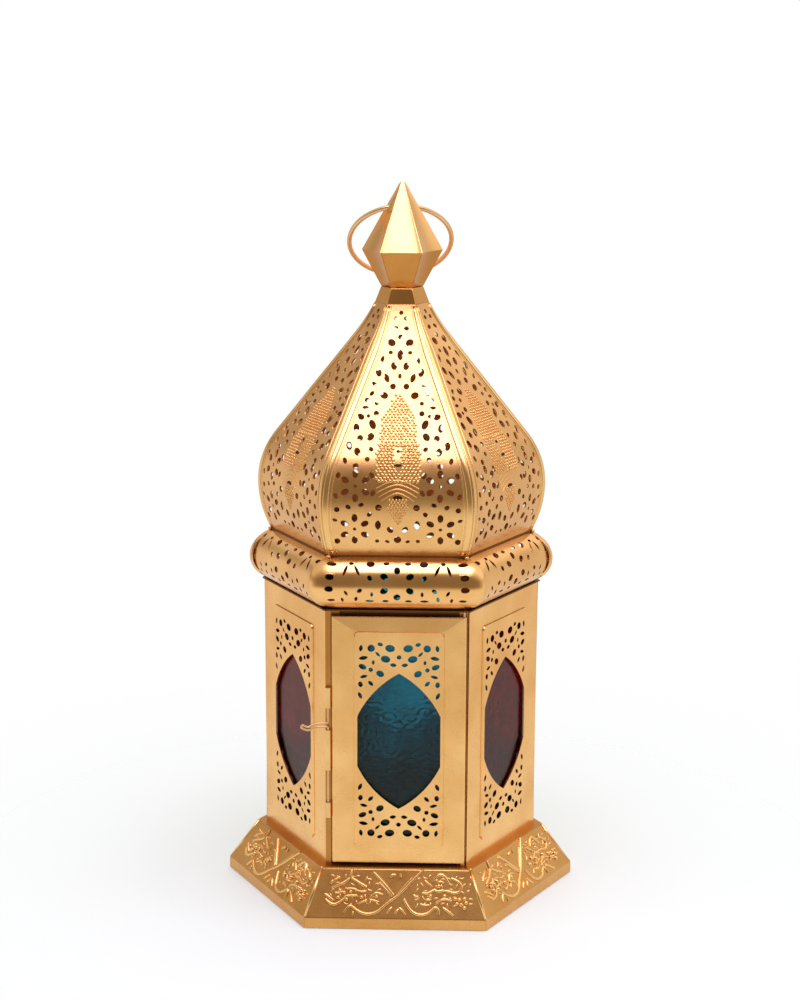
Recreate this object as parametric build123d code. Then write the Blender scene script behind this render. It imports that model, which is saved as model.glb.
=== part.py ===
"""Six-sided pierced metal lantern: skirted base, paned body with a hinged door, bulged rim,
ogee dome, double-cone finial and hanging ring. Millimetres, +Z up, the door faces -Y,
and the origin is on the ground under the middle of the base."""
from build123d import *
import math
import os

# Six-sided plan. A "corner" size is a radius to a corner of a hexagon.
SIDES = 6
PLACES = ("front", "front_right", "back_right", "back", "back_left", "front_left")
BODY_CORNER = 58.4
BODY_HEIGHT = 109.2
SHEET = 0.6  # pressed sheet
SEAM_GAP = 0.03  # a soldered edge stands this far off its mitre plane
OVERRUN = 8.0  # cutters run this far past what they cut

# Base skirt and floor
BASE_LEDGE = 3.6  # top of the skirt beyond the body's corners
BASE_SPREAD = 13.0  # foot of the skirt beyond its top
BASE_HEIGHT = 21.8
BASE_LIP = 4.7  # upright lip at the foot of the slope
BASE_SHEET = 0.8
BASE_HEM = 4.0  # folded in under the lip
CUP_BORE_RADIUS = 20.0  # takes a tealight
CUP_WALL = 0.6
CUP_HEIGHT = 8.0

# Panels: margins step inwards from the panel's edge to the raised field, the piercing and the window
FIELD_SIDE_MARGIN = 10.1
FIELD_END_MARGIN = 7.45
FIELD_DROP = 0.4  # middle of the field below the middle of the body
FIELD_RISE = 0.8
FIELD_SLOPE = 45.0  # degrees
PIERCED_SIDE_MARGIN = 2.4
PIERCED_END_MARGIN = 5.8
WINDOW_SIDE_MARGIN = 2.1
WINDOW_END_MARGIN = 18.05
WINDOW_STRAIGHT = 21.4  # upright part of the window's sides
WINDOW_BULGE = 2.0  # how far its pointed ends bow out

# Panes, clips and corner posts
PANE_SIDE_LAP = 1.4  # pane beyond the raised field
PANE_END_LAP = -1.15
PANE_THICKNESS = 2.0
CLIP_SHEET = 0.5
CLIP_LIP = 2.0  # reach over the pane
CLIP_FOOT = 2.0
CLIP_LENGTH = 8.0
CLIP_SPREAD = 60.0  # between the two clips of one edge
CLIP_GAP = 0.2
POST_SHEET = 0.6
POST_CLIP_GAP = 0.65

# Door, hinge and stops
DOOR_PROUD = 0.3
DOOR_FOLD = 0.1  # folded edges are this much deeper than the roll
DOOR_GAP = 0.35
DOOR_RISE = 1.2  # sheet above the floor
DOOR_HEAD_GAP = 2.2
STOP_GAP = 0.4
STOP_SIDE_GAP = 1.2  # between the clips and the stops
STOP_HEIGHT = 5.0
HINGE_WIRE_RADIUS = 0.6
HINGE_CLEARANCE = 0.06
HINGE_ROLL_RADIUS = 1.1
HINGE_END_GAP = 0.3
PLATE_HOLE_CLEARANCE = 0.05

# Latch: lengths run up the corner strip
LATCH_RISE = 21.1  # lower guide above the floor
GUIDE_LOWER_LENGTH = 6.5
LATCH_BARE_LENGTH = 14.1  # bare wire between the lower and middle guides
GUIDE_MIDDLE_LENGTH = 17.2
HANDLE_ROOM = 9.5  # between the middle and upper guides
GUIDE_UPPER_LENGTH = 8.6
GUIDE_RADIUS = 1.05
GUIDE_MARGIN = 0.05
LATCH_WIRE_RADIUS = 0.45
LATCH_CLEARANCE = 0.07
LATCH_END_GAP = 0.3
HANDLE_REACH = 11.0
HANDLE_DIP = 1.3
HAIRPIN = 1.4  # between the two strands
HANDLE_BEND_SHARES = (0.45, 0.76)  # where the handle starts to dip and where it turns up
HAIRPIN_TIP_SHARE = 0.84
LATCH_REST_TURN = 192.0  # degrees from +X: the handle points left and a little forward

# Decks and rim
DECK_OVERHANG = 0.8
DECK_WIDTH = 13.2
RIM_INSET = 0.6  # foot of the rim inside the body's corners
RIM_HEIGHT = 21.4
RIM_BULGE = 7.2

# Dome
DOME_INSET = 2.9  # foot of the dome inside the body's corners
UPPER_DECK_OVERHANG = 1.7
DOME_SWELL = 5.2  # widest corner beyond the foot
DOME_WIDE_RISE = 20.5
DOME_SHOULDER_RADIUS = 37.4
DOME_SLOPE = 34.6  # degrees from upright
DOME_FLARE_RADIUS = 72.8
DOME_NECK_SLOPE = 23.6  # degrees from upright
NECK_CORNER = 11.3

# Neck, finial and ring
NECK_HEIGHT = 6.5
NECK_TOP_CORNER = 8.8
FINIAL_WIDE_CORNER = 17.0
FINIAL_LOWER_HEIGHT = 15.2
FINIAL_UPPER_HEIGHT = 27.6
FINIAL_TIP_CORNER = 1.1
RING_RADIUS = 21.4
RING_WIRE_RADIUS = 1.0
RING_CLEARANCE = 0.6
RING_DROP = 10.5  # holes below the finial's tip
RING_LEAN = 43.0  # degrees back from hanging straight down
RING_TURN = 5.0  # degrees about +Z

# Piercing. Each row: across, up, length, width, tilt in degrees. Rows off the middle are mirrored.
# Across and up are shares of the pierced field's half sizes, the hole's sizes are shares of one hole.
PANEL_HOLE = 3.0
POINTED_SHARE = 0.62  # narrower holes have pointed ends
SPANDREL_SHARES = (
    (0.93, 0.96, 0.95, 0.50, 100),
    (0.68, 0.96, 1.00, 1.00, 0),
    (0.22, 0.96, 1.30, 1.00, 10),
    (0.46, 1.00, 0.75, 0.50, 15),
    (0.52, 0.90, 0.95, 0.35, 45),
    (0.87, 0.86, 1.30, 0.55, 170),
    (0.33, 0.85, 1.30, 0.95, 15),
    (0.00, 0.87, 0.65, 0.60, 0),
    (0.63, 0.815, 0.60, 0.40, 90),
    (0.14, 0.79, 0.90, 0.52, 8),
    (0.89, 0.77, 1.10, 0.70, 25),
    (0.69, 0.74, 0.60, 0.60, 0),
    (0.46, 0.70, 1.10, 0.85, 30),
    (0.86, 0.67, 1.10, 0.45, 165),
    (0.94, 0.59, 0.80, 0.62, 80),
    (0.69, 0.60, 0.95, 0.50, 45),
    (0.95, 0.475, 1.05, 0.50, 65),
)

# The dome's table: across is a share of the gore's half width there, up is a share of the gore's height.
GORE_HOLE = 3.0
ROSETTE_RADIUS = 4.7
ROSETTE_PETALS = 6
PETAL_SHARES = (1.10, 0.80)
ROSETTE_EYE_SHARE = 0.45
GORE_ROSETTE_SHARES = ((0.575, 0.121), (0.570, 0.303))
GORE_SHARES = (
    (0.00, 0.075, 1.00, 1.00, 0),
    (0.14, 0.066, 0.70, 0.42, 20),
    (0.28, 0.068, 0.55, 0.50, 0),
    (0.83, 0.066, 0.80, 0.80, 0),
    (0.10, 0.119, 1.00, 0.75, 50),
    (0.26, 0.140, 1.35, 0.80, 90),
    (0.83, 0.160, 0.75, 0.45, 20),
    (0.37, 0.186, 0.75, 0.60, 140),
    (0.80, 0.205, 0.75, 0.70, 0),
    (0.25, 0.215, 0.90, 0.85, 0),
    (0.65, 0.216, 0.75, 0.60, 30),
    (0.48, 0.226, 0.75, 0.55, 160),
    (0.82, 0.262, 0.80, 0.60, 70),
    (0.33, 0.275, 0.90, 0.60, 120),
    (0.82, 0.345, 0.80, 0.60, 110),
    (0.36, 0.345, 0.90, 0.65, 60),
    (0.60, 0.382, 0.80, 0.70, 0),
    (0.45, 0.408, 0.65, 0.60, 0),
    (0.77, 0.402, 0.80, 0.55, 75),
    (0.62, 0.436, 1.05, 0.85, 60),
    (0.42, 0.446, 0.70, 0.55, 30),
    (0.77, 0.458, 1.05, 0.80, 75),
    (0.63, 0.487, 0.80, 0.75, 0),
    (0.46, 0.492, 1.10, 0.85, 135),
    (0.74, 0.525, 1.05, 0.80, 80),
    (0.47, 0.538, 1.25, 0.85, 60),
    (0.72, 0.567, 1.00, 0.75, 20),
    (0.44, 0.580, 0.75, 0.65, 0),
    (0.58, 0.570, 0.50, 0.45, 0),
    (0.68, 0.602, 0.95, 0.42, 0),
    (0.69, 0.630, 0.65, 0.60, 0),
    (0.47, 0.618, 0.60, 0.50, 0),
    (0.34, 0.648, 1.10, 0.85, 15),
    (0.62, 0.655, 0.75, 0.50, 140),
    (0.61, 0.690, 0.95, 0.50, 35),
    (0.16, 0.682, 0.80, 0.75, 0),
    (0.34, 0.714, 1.25, 0.70, 65),
    (0.58, 0.735, 1.05, 0.80, 70),
    (0.00, 0.722, 0.65, 0.50, 90),
    (0.18, 0.760, 1.00, 0.80, 70),
    (0.56, 0.785, 1.20, 0.50, 110),
    (0.00, 0.803, 1.40, 0.85, 90),
    (0.33, 0.812, 0.60, 0.50, 0),
    (0.35, 0.850, 1.10, 0.90, 20),
    (0.00, 0.872, 0.75, 0.65, 0),
    (0.27, 0.906, 0.80, 0.55, 160),
    (0.28, 0.945, 0.60, 0.55, 0),
    (0.00, 0.968, 0.60, 0.55, 0),
)

# The rim's table: along is a share of the foot's half side, round is a share of the pierced half angle.
RIM_HOLE = 3.0
RIM_PIERCED_MIDDLE = 12.0  # degrees up from level
RIM_PIERCED_HALF = 40.0  # degrees each way
RIM_SHARES = (
    (0.00, 0.62, 1.05, 0.85, 90),
    (0.00, -0.76, 0.95, 0.95, 0),
    (0.18, 0.30, 1.10, 0.85, 30),
    (0.18, -0.42, 1.10, 0.85, 150),
    (0.15, 1.00, 0.95, 0.55, 0),
    (0.16, -1.00, 0.95, 0.40, 0),
    (0.37, 0.97, 1.15, 0.95, 0),
    (0.38, -1.00, 1.25, 0.40, 0),
    (0.35, -0.60, 0.80, 0.40, 90),
    (0.38, 0.22, 0.80, 0.60, 60),
    (0.56, 0.62, 1.80, 0.42, 65),
    (0.64, 1.00, 0.65, 0.55, 0),
    (0.72, 0.62, 1.80, 0.42, 110),
    (0.52, -0.42, 0.75, 0.55, 145),
    (0.57, -0.88, 0.80, 0.45, 100),
    (0.71, -0.55, 0.90, 0.38, 60),
    (0.76, -0.95, 0.80, 0.38, 80),
    (0.88, 0.97, 0.90, 0.70, 20),
    (0.92, 0.26, 0.80, 0.85, 0),
    (0.93, -0.35, 0.80, 0.80, 0),
    (0.90, -0.97, 0.80, 0.42, 0),
)

# Sizes and levels that follow from the sizes above
HALF_TURN = 180.0 / SIDES
SIN = math.sin(math.radians(HALF_TURN))
COS = math.cos(math.radians(HALF_TURN))
TAN = math.tan(math.radians(HALF_TURN))
UPRIGHT = (Align.CENTER, Align.CENTER, Align.MIN)

BASE_TOP_CORNER = BODY_CORNER + BASE_LEDGE
BASE_CORNER = BASE_TOP_CORNER + BASE_SPREAD
DECK_CORNER = BODY_CORNER + DECK_OVERHANG
DECK_OPENING_CORNER = DECK_CORNER - DECK_WIDTH
RIM_FOOT_CORNER = BODY_CORNER - RIM_INSET
DOME_FOOT_CORNER = BODY_CORNER - DOME_INSET
UPPER_DECK_CORNER = DOME_FOOT_CORNER + UPPER_DECK_OVERHANG
DOME_WIDE_CORNER = DOME_FOOT_CORNER + DOME_SWELL

FLOOR = BASE_HEIGHT + SHEET
LOWER_DECK = FLOOR + BODY_HEIGHT
RIM_FOOT = LOWER_DECK + SHEET
UPPER_DECK = RIM_FOOT + RIM_HEIGHT
DOME_FOOT = UPPER_DECK + SHEET

FIELD_WIDTH = BODY_CORNER - 2 * FIELD_SIDE_MARGIN
FIELD_HEIGHT = BODY_HEIGHT - 2 * FIELD_END_MARGIN
FIELD_MIDDLE = FLOOR + BODY_HEIGHT / 2 - FIELD_DROP
PIERCED_WIDTH = FIELD_WIDTH - 2 * PIERCED_SIDE_MARGIN
PIERCED_HEIGHT = FIELD_HEIGHT - 2 * PIERCED_END_MARGIN
WINDOW_WIDTH = FIELD_WIDTH - 2 * WINDOW_SIDE_MARGIN
WINDOW_HEIGHT = FIELD_HEIGHT - 2 * WINDOW_END_MARGIN
PANE_WIDTH = FIELD_WIDTH + 2 * PANE_SIDE_LAP
PANE_HEIGHT = FIELD_HEIGHT + 2 * PANE_END_LAP
CLIP_EDGE = PANE_WIDTH / 2 + CLIP_GAP + CLIP_SHEET + CLIP_FOOT
POST_CORNER = BODY_CORNER - SHEET / COS
POST_LEG = POST_CORNER / 2 - CLIP_EDGE - POST_CLIP_GAP

BODY_FLAT = BODY_CORNER * COS
DOOR_FACE = BODY_FLAT + DOOR_PROUD
DOOR_DEPTH = 2 * HINGE_ROLL_RADIUS + DOOR_FOLD
STOP_FACE = DOOR_FACE - DOOR_DEPTH - STOP_GAP
STOP_WIDTH = 2 * (CLIP_EDGE + STOP_SIDE_GAP)
HINGE_Y = -(DOOR_FACE - HINGE_ROLL_RADIUS)
HINGE_X = (BODY_FLAT - SHEET - DOOR_GAP - HINGE_ROLL_RADIUS + HINGE_Y * SIN) / COS
LATCH_STRIP = 2 * (GUIDE_RADIUS + GUIDE_MARGIN)
LATCH_X = -BODY_CORNER / 2 + LATCH_STRIP / 2
LATCH_Y = -(BODY_FLAT + GUIDE_RADIUS)
DOOR_RIGHT = HINGE_X + HINGE_ROLL_RADIUS
DOOR_LEFT = -BODY_CORNER / 2 + LATCH_STRIP + DOOR_GAP
DOOR_MIDDLE = (DOOR_LEFT + DOOR_RIGHT) / 2
DOOR_LOW = FLOOR + DOOR_RISE
DOOR_HIGH = LOWER_DECK - DOOR_HEAD_GAP

GUIDE_LOWER = FLOOR + LATCH_RISE
GUIDE_MIDDLE = GUIDE_LOWER + GUIDE_LOWER_LENGTH + LATCH_BARE_LENGTH
HANDLE_FOOT = GUIDE_MIDDLE + GUIDE_MIDDLE_LENGTH
GUIDE_UPPER = HANDLE_FOOT + HANDLE_ROOM


def flat(corner):
    """Distance from the middle to a side of the hexagon with this corner radius."""
    return corner * COS


def hexagon(corner):
    """Hexagon with a side towards -Y."""
    return RegularPolygon(radius=corner, side_count=SIDES)


def plate(corner, low, thickness, opening=0):
    """Six-sided plate, with a six-sided opening where one is given."""
    outline = hexagon(corner)
    if opening:
        outline -= hexagon(opening)
    return Pos(0, 0, low) * extrude(outline, amount=thickness)


def block(left, right, front, back, low, high):
    """Box between six coordinates."""
    size = Box(right - left, back - front, high - low, align=(Align.MIN, Align.MIN, Align.MIN))
    return Pos(left, front, low) * size


def front_wedge(reach, low, high):
    """The front sixth of the lantern, less the seam gap at each mitre."""
    inset = SEAM_GAP / COS
    half = reach * TAN - inset
    outline = make_face(Polyline((0, -inset / TAN), (half, -reach), (-half, -reach), close=True))
    return Pos(0, 0, low) * extrude(outline, amount=high - low)


def front_piece(profile, reach, low, high):
    """Profile in the YZ plane run along X and mitred to the front sixth."""
    strip = extrude(profile, amount=reach, dir=(1, 0, 0), both=True)
    return strip & front_wedge(reach + OVERRUN, low, high)


def outline_face(points):
    """Face in the YZ plane from points given as distance out from the axis and height."""
    return make_face(Polyline(*[(0, -out, up) for out, up in points], close=True))


def turned(shape, place):
    """A front piece turned to another side."""
    return Rot(0, 0, place * 2 * HALF_TURN) * shape


def hole(long, wide):
    """Outline of one pierced hole lying along X: an oval, or a leaf where it is slender."""
    if wide >= POINTED_SHARE * long:
        return Ellipse(long / 2, wide / 2)
    upper = ThreePointArc((-long / 2, 0), (0, wide / 2), (long / 2, 0))
    lower = ThreePointArc((long / 2, 0), (0, -wide / 2), (-long / 2, 0))
    return make_face(upper + lower)


def mirrored(rows):
    """Rows of a piercing table with their mirror images."""
    for across, up, long, wide, tilt in rows:
        yield across, up, long, wide, tilt
        if across:
            yield -across, up, long, wide, -tilt


def front_cutter(across, up, long, wide, tilt, reach):
    """Cutter for one hole, run from the axis out through the front."""
    return extrude(Plane.XZ * (Pos(across, up) * Rot(0, 0, tilt) * hole(long, wide)), amount=reach)


def base_panel():
    """Front panel of the skirt: hem, lip and slope in one folded sheet."""
    slope = math.atan2(flat(BASE_CORNER) - flat(BASE_TOP_CORNER), BASE_HEIGHT - BASE_LIP)
    level_wall = BASE_SHEET / math.cos(slope)
    lip = flat(BASE_CORNER)
    top = flat(BASE_TOP_CORNER)
    fold = BASE_LIP - BASE_SHEET * math.tan(slope / 2)
    profile = outline_face([
        (lip, 0),
        (lip, BASE_LIP),
        (top, BASE_HEIGHT),
        (top - level_wall, BASE_HEIGHT),
        (lip - BASE_SHEET, fold),
        (lip - BASE_SHEET, BASE_SHEET),
        (lip - BASE_HEM, BASE_SHEET),
        (lip - BASE_HEM, 0),
    ])
    return front_piece(profile, BASE_CORNER, 0, BASE_HEIGHT)


def hinge_wire_hole(level):
    """Cutter for the hinge wire's hole in a plate at this level."""
    return Pos(HINGE_X, HINGE_Y, level) * Cylinder(HINGE_WIRE_RADIUS + PLATE_HOLE_CLEARANCE, OVERRUN)


def base_top_plate():
    """Floor of the lantern, with the hole for the hinge wire."""
    return plate(BASE_TOP_CORNER, BASE_HEIGHT, SHEET) - hinge_wire_hole(BASE_HEIGHT)


def candle_cup():
    """Shallow round cup on the floor."""
    outer = Cylinder(CUP_BORE_RADIUS + CUP_WALL, CUP_HEIGHT, align=UPRIGHT)
    bore = Cylinder(CUP_BORE_RADIUS, CUP_HEIGHT, align=UPRIGHT)
    return Pos(0, 0, FLOOR) * (outer - Pos(0, 0, CUP_WALL) * bore)


def corner_layer(outer_corner, thickness):
    """Six-sided tube as tall as the body, of which the corner posts are cut."""
    return plate(outer_corner, FLOOR, BODY_HEIGHT, opening=outer_corner - thickness / COS)


def corner_post():
    """Folded strip inside the right-hand corner, on +X."""
    near = POST_CORNER - POST_LEG * SIN
    room = block(near, BODY_CORNER, -POST_LEG, POST_LEG, FLOOR, LOWER_DECK)
    return corner_layer(POST_CORNER, POST_SHEET) & room


def stop_block(left, right):
    """Upright stop strip behind one edge of the door."""
    return block(left, right, -STOP_FACE, -STOP_FACE + POST_SHEET, FLOOR, LOWER_DECK)


def leg_room(left, right, front):
    """Room that holds a front post's leg behind the side panel."""
    return block(left, right, front, -flat(POST_CORNER) + POST_LEG * COS, FLOOR, LOWER_DECK)


def hinge_post():
    """Front right-hand post: stop strip behind the rolled edge and a leg behind the side panel."""
    inside = plate(POST_CORNER, FLOOR, BODY_HEIGHT)
    stop = stop_block(DOOR_MIDDLE + STOP_WIDTH / 2, BODY_CORNER) & inside
    leg = corner_layer(POST_CORNER, POST_SHEET) & leg_room(HINGE_X, BODY_CORNER, -STOP_FACE)
    return stop + leg


def latch_post():
    """Front left-hand post: corner strip beside the door, stop strip and a leg behind the side panel."""
    edge = -BODY_CORNER / 2 + LATCH_STRIP
    strip_room = block(-BODY_CORNER, edge, -BODY_CORNER, 0, FLOOR, LOWER_DECK)
    strip = corner_layer(BODY_CORNER, SHEET) & strip_room & front_wedge(BODY_CORNER, FLOOR, LOWER_DECK)
    leg = corner_layer(POST_CORNER, POST_SHEET) & leg_room(-BODY_CORNER, edge, -BODY_FLAT)
    riser = block(edge - POST_SHEET, edge, -flat(POST_CORNER), -STOP_FACE + POST_SHEET, FLOOR, LOWER_DECK)
    stop = stop_block(edge - POST_SHEET, DOOR_MIDDLE - STOP_WIDTH / 2)
    return strip + leg + riser + stop


def cross_stop(low):
    """Level stop strip between the two stop strips, at the door's head or foot."""
    left = DOOR_MIDDLE - STOP_WIDTH / 2
    right = DOOR_MIDDLE + STOP_WIDTH / 2
    return block(left, right, -STOP_FACE, -STOP_FACE + POST_SHEET, low, low + STOP_HEIGHT)


def raised_field(middle_x, face):
    """Sloped block that lifts the panel's field, standing on the plane y = -face."""
    base = Pos(middle_x, FIELD_MIDDLE) * Rectangle(FIELD_WIDTH, FIELD_HEIGHT)
    return extrude(Plane.XZ.offset(face) * base, amount=FIELD_RISE, taper=FIELD_SLOPE)


def window_cutter(middle_x, reach):
    """Pointed window with upright sides."""
    side = WINDOW_WIDTH / 2
    shoulder = WINDOW_STRAIGHT / 2
    tip = WINDOW_HEIGHT / 2
    run = math.hypot(side, tip - shoulder)
    bow_x = side / 2 + WINDOW_BULGE * (tip - shoulder) / run
    bow_z = (tip + shoulder) / 2 + WINDOW_BULGE * side / run
    edges = [
        Line((side, -shoulder), (side, shoulder)),
        ThreePointArc((side, shoulder), (bow_x, bow_z), (0, tip)),
        ThreePointArc((0, tip), (-bow_x, bow_z), (-side, shoulder)),
        Line((-side, shoulder), (-side, -shoulder)),
        ThreePointArc((-side, -shoulder), (-bow_x, -bow_z), (0, -tip)),
        ThreePointArc((0, -tip), (bow_x, -bow_z), (side, -shoulder)),
    ]
    outline = make_face(Wire(edges))
    return extrude(Plane.XZ * (Pos(middle_x, FIELD_MIDDLE) * outline), amount=reach)


def panel_cutters(middle_x):
    """The window and the pierced spandrels above and below it."""
    reach = DOOR_FACE + OVERRUN
    cutters = [window_cutter(middle_x, reach)]
    for across, up, long, wide, tilt in mirrored(SPANDREL_SHARES):
        x = middle_x + across * PIERCED_WIDTH / 2
        rise = up * PIERCED_HEIGHT / 2
        for way in (1, -1):
            z = FIELD_MIDDLE + way * rise
            cutters.append(front_cutter(x, z, long * PANEL_HOLE, wide * PANEL_HOLE, way * tilt, reach))
    return cutters


def pressed(sheet, middle_x, face):
    """A flat sheet with its field raised, its window cut and its spandrels pierced."""
    field = raised_field(middle_x, face)
    return sheet + field - Pos(0, SHEET, 0) * field - panel_cutters(middle_x)


def side_panel():
    """Fixed pierced panel, modelled at the front."""
    profile = outline_face([
        (BODY_FLAT, FLOOR),
        (BODY_FLAT, LOWER_DECK),
        (BODY_FLAT - SHEET, LOWER_DECK),
        (BODY_FLAT - SHEET, FLOOR),
    ])
    return pressed(front_piece(profile, BODY_CORNER, FLOOR, LOWER_DECK), 0, BODY_FLAT)


def door_panel():
    """Door: pierced sheet, three folded edges and the edge rolled round the hinge wire."""
    back = -DOOR_FACE + DOOR_DEPTH
    fold_end = HINGE_X - HINGE_ROLL_RADIUS
    sheet = block(DOOR_LEFT, HINGE_X, -DOOR_FACE, -DOOR_FACE + SHEET, DOOR_LOW, DOOR_HIGH)
    panel = pressed(sheet, DOOR_MIDDLE, DOOR_FACE)
    panel += block(DOOR_LEFT, DOOR_LEFT + SHEET, -DOOR_FACE, back, DOOR_LOW, DOOR_HIGH)
    panel += block(DOOR_LEFT, fold_end, -DOOR_FACE, back, DOOR_HIGH - SHEET, DOOR_HIGH)
    panel += block(DOOR_LEFT, fold_end, -DOOR_FACE, back, DOOR_LOW, DOOR_LOW + SHEET)
    roll_foot = FLOOR + HINGE_END_GAP
    roll = Cylinder(HINGE_ROLL_RADIUS, DOOR_HIGH - roll_foot, align=UPRIGHT)
    bore = Cylinder(HINGE_WIRE_RADIUS + HINGE_CLEARANCE, BODY_HEIGHT, align=UPRIGHT)
    panel += Pos(HINGE_X, HINGE_Y, roll_foot) * roll
    return panel - Pos(HINGE_X, HINGE_Y, FLOOR) * bore


def hinge_wire():
    """Upright wire through the rolled edge, its ends in the floor and the lower deck."""
    wire = Cylinder(HINGE_WIRE_RADIUS, RIM_FOOT - BASE_HEIGHT, align=UPRIGHT)
    return Pos(HINGE_X, HINGE_Y, BASE_HEIGHT) * wire


def pane(middle_x, face):
    """Flat pane against the back of a panel whose back is the plane y = -face."""
    middle_z = FIELD_MIDDLE
    return block(
        middle_x - PANE_WIDTH / 2, middle_x + PANE_WIDTH / 2, -face, -face + PANE_THICKNESS,
        middle_z - PANE_HEIGHT / 2, middle_z + PANE_HEIGHT / 2,
    )


def pane_clips(middle_x, face):
    """Four bent clips that hold a pane against its panel."""
    edge = PANE_WIDTH / 2 + CLIP_GAP
    outline = make_face(Polyline(
        (edge + CLIP_SHEET + CLIP_FOOT, 0),
        (edge, 0),
        (edge, PANE_THICKNESS),
        (edge - CLIP_GAP - CLIP_LIP, PANE_THICKNESS),
        (edge - CLIP_GAP - CLIP_LIP, PANE_THICKNESS + CLIP_SHEET),
        (edge + CLIP_SHEET, PANE_THICKNESS + CLIP_SHEET),
        (edge + CLIP_SHEET, CLIP_SHEET),
        (edge + CLIP_SHEET + CLIP_FOOT, CLIP_SHEET),
        close=True,
    ))
    clip = extrude(outline, amount=CLIP_LENGTH / 2, both=True)
    clips = []
    for side in (clip, mirror(clip, about=Plane.YZ)):
        for way in (1, -1):
            clips.append(Pos(middle_x, -face, FIELD_MIDDLE + way * CLIP_SPREAD / 2) * side)
    return Compound(clips)


def latch_guide(level, length):
    """Short tube on a flat foot, standing on the corner strip."""
    tube = Cylinder(GUIDE_RADIUS, length, align=UPRIGHT)
    foot = block(-GUIDE_RADIUS, GUIDE_RADIUS, 0, GUIDE_RADIUS, 0, length)
    bore = Cylinder(LATCH_WIRE_RADIUS + LATCH_CLEARANCE, length, align=UPRIGHT)
    return Pos(LATCH_X, LATCH_Y, level) * (tube + foot - bore)


def latch_wire():
    """One wire: upright, out along the hairpin handle, back and upright again."""
    bend = HAIRPIN / 2
    tip_bend = bend * HAIRPIN_TIP_SHARE
    lower = HANDLE_FOOT + bend + LATCH_WIRE_RADIUS + LATCH_END_GAP
    upper = lower + HAIRPIN
    near, far = (share * HANDLE_REACH for share in HANDLE_BEND_SHARES)
    points = [
        (0, GUIDE_UPPER + GUIDE_UPPER_LENGTH - LATCH_END_GAP),
        (0, upper),
        (near, upper),
        (far, upper - HANDLE_DIP),
        (HANDLE_REACH, upper),
        (HANDLE_REACH, lower),
        (far, lower - HANDLE_DIP),
        (near, lower),
        (0, lower),
        (0, GUIDE_LOWER + LATCH_END_GAP),
    ]
    radii = [bend, HAIRPIN, HAIRPIN, tip_bend, tip_bend, HAIRPIN, HAIRPIN, bend]
    turn = math.radians(LATCH_REST_TURN)
    across = Vector(math.cos(turn), math.sin(turn), 0)
    sheet = Plane(origin=(LATCH_X, LATCH_Y, 0), x_dir=across, z_dir=across.cross(Vector(0, 0, 1)))
    path = sheet * FilletPolyline(*points, radius=radii)
    start = Plane(origin=path @ 0, z_dir=path % 0)
    return sweep(start * Circle(LATCH_WIRE_RADIUS), path=path)


def lower_deck():
    """Ring plate on the body, with the hole for the hinge wire."""
    deck = plate(DECK_CORNER, LOWER_DECK, SHEET, opening=DECK_OPENING_CORNER)
    return deck - hinge_wire_hole(LOWER_DECK)


def upper_deck():
    """Ring plate between the rim and the dome."""
    return plate(UPPER_DECK_CORNER, UPPER_DECK, SHEET, opening=DECK_OPENING_CORNER)


def rim_segment():
    """Bulged strip between the two decks, pierced square to its surface."""
    foot = flat(RIM_FOOT_CORNER)
    head = flat(DOME_FOOT_CORNER)
    chord = math.hypot(head - foot, RIM_HEIGHT)
    radius = chord ** 2 / (8 * RIM_BULGE) + RIM_BULGE / 2
    lean = math.atan2(foot - head, RIM_HEIGHT)
    drop = radius - RIM_BULGE
    centre_out = (foot + head) / 2 - drop * math.cos(lean)
    centre_up = RIM_FOOT + RIM_HEIGHT / 2 - drop * math.sin(lean)
    middle = Plane(origin=(0, -centre_out, centre_up), x_dir=(0, -1, 0), z_dir=(-1, 0, 0))
    profile = middle * (Circle(radius) - Circle(radius - SHEET))
    segment = front_piece(profile, BASE_CORNER, RIM_FOOT, UPPER_DECK)
    half_side = RIM_FOOT_CORNER / 2
    cutters = []
    for along, around, long, wide, tilt in mirrored(RIM_SHARES):
        lift = RIM_PIERCED_MIDDLE + around * RIM_PIERCED_HALF
        outline = Plane.XZ * (Rot(0, 0, tilt) * hole(long * RIM_HOLE, wide * RIM_HOLE))
        cutter = extrude(outline, amount=radius + OVERRUN)
        cutters.append(Pos(along * half_side, -centre_out, centre_up) * Rot(-lift, 0, 0) * cutter)
    inner_side = block(-BODY_CORNER, BODY_CORNER, -centre_out, 0, RIM_FOOT, UPPER_DECK)
    return segment - inner_side - cutters


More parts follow.
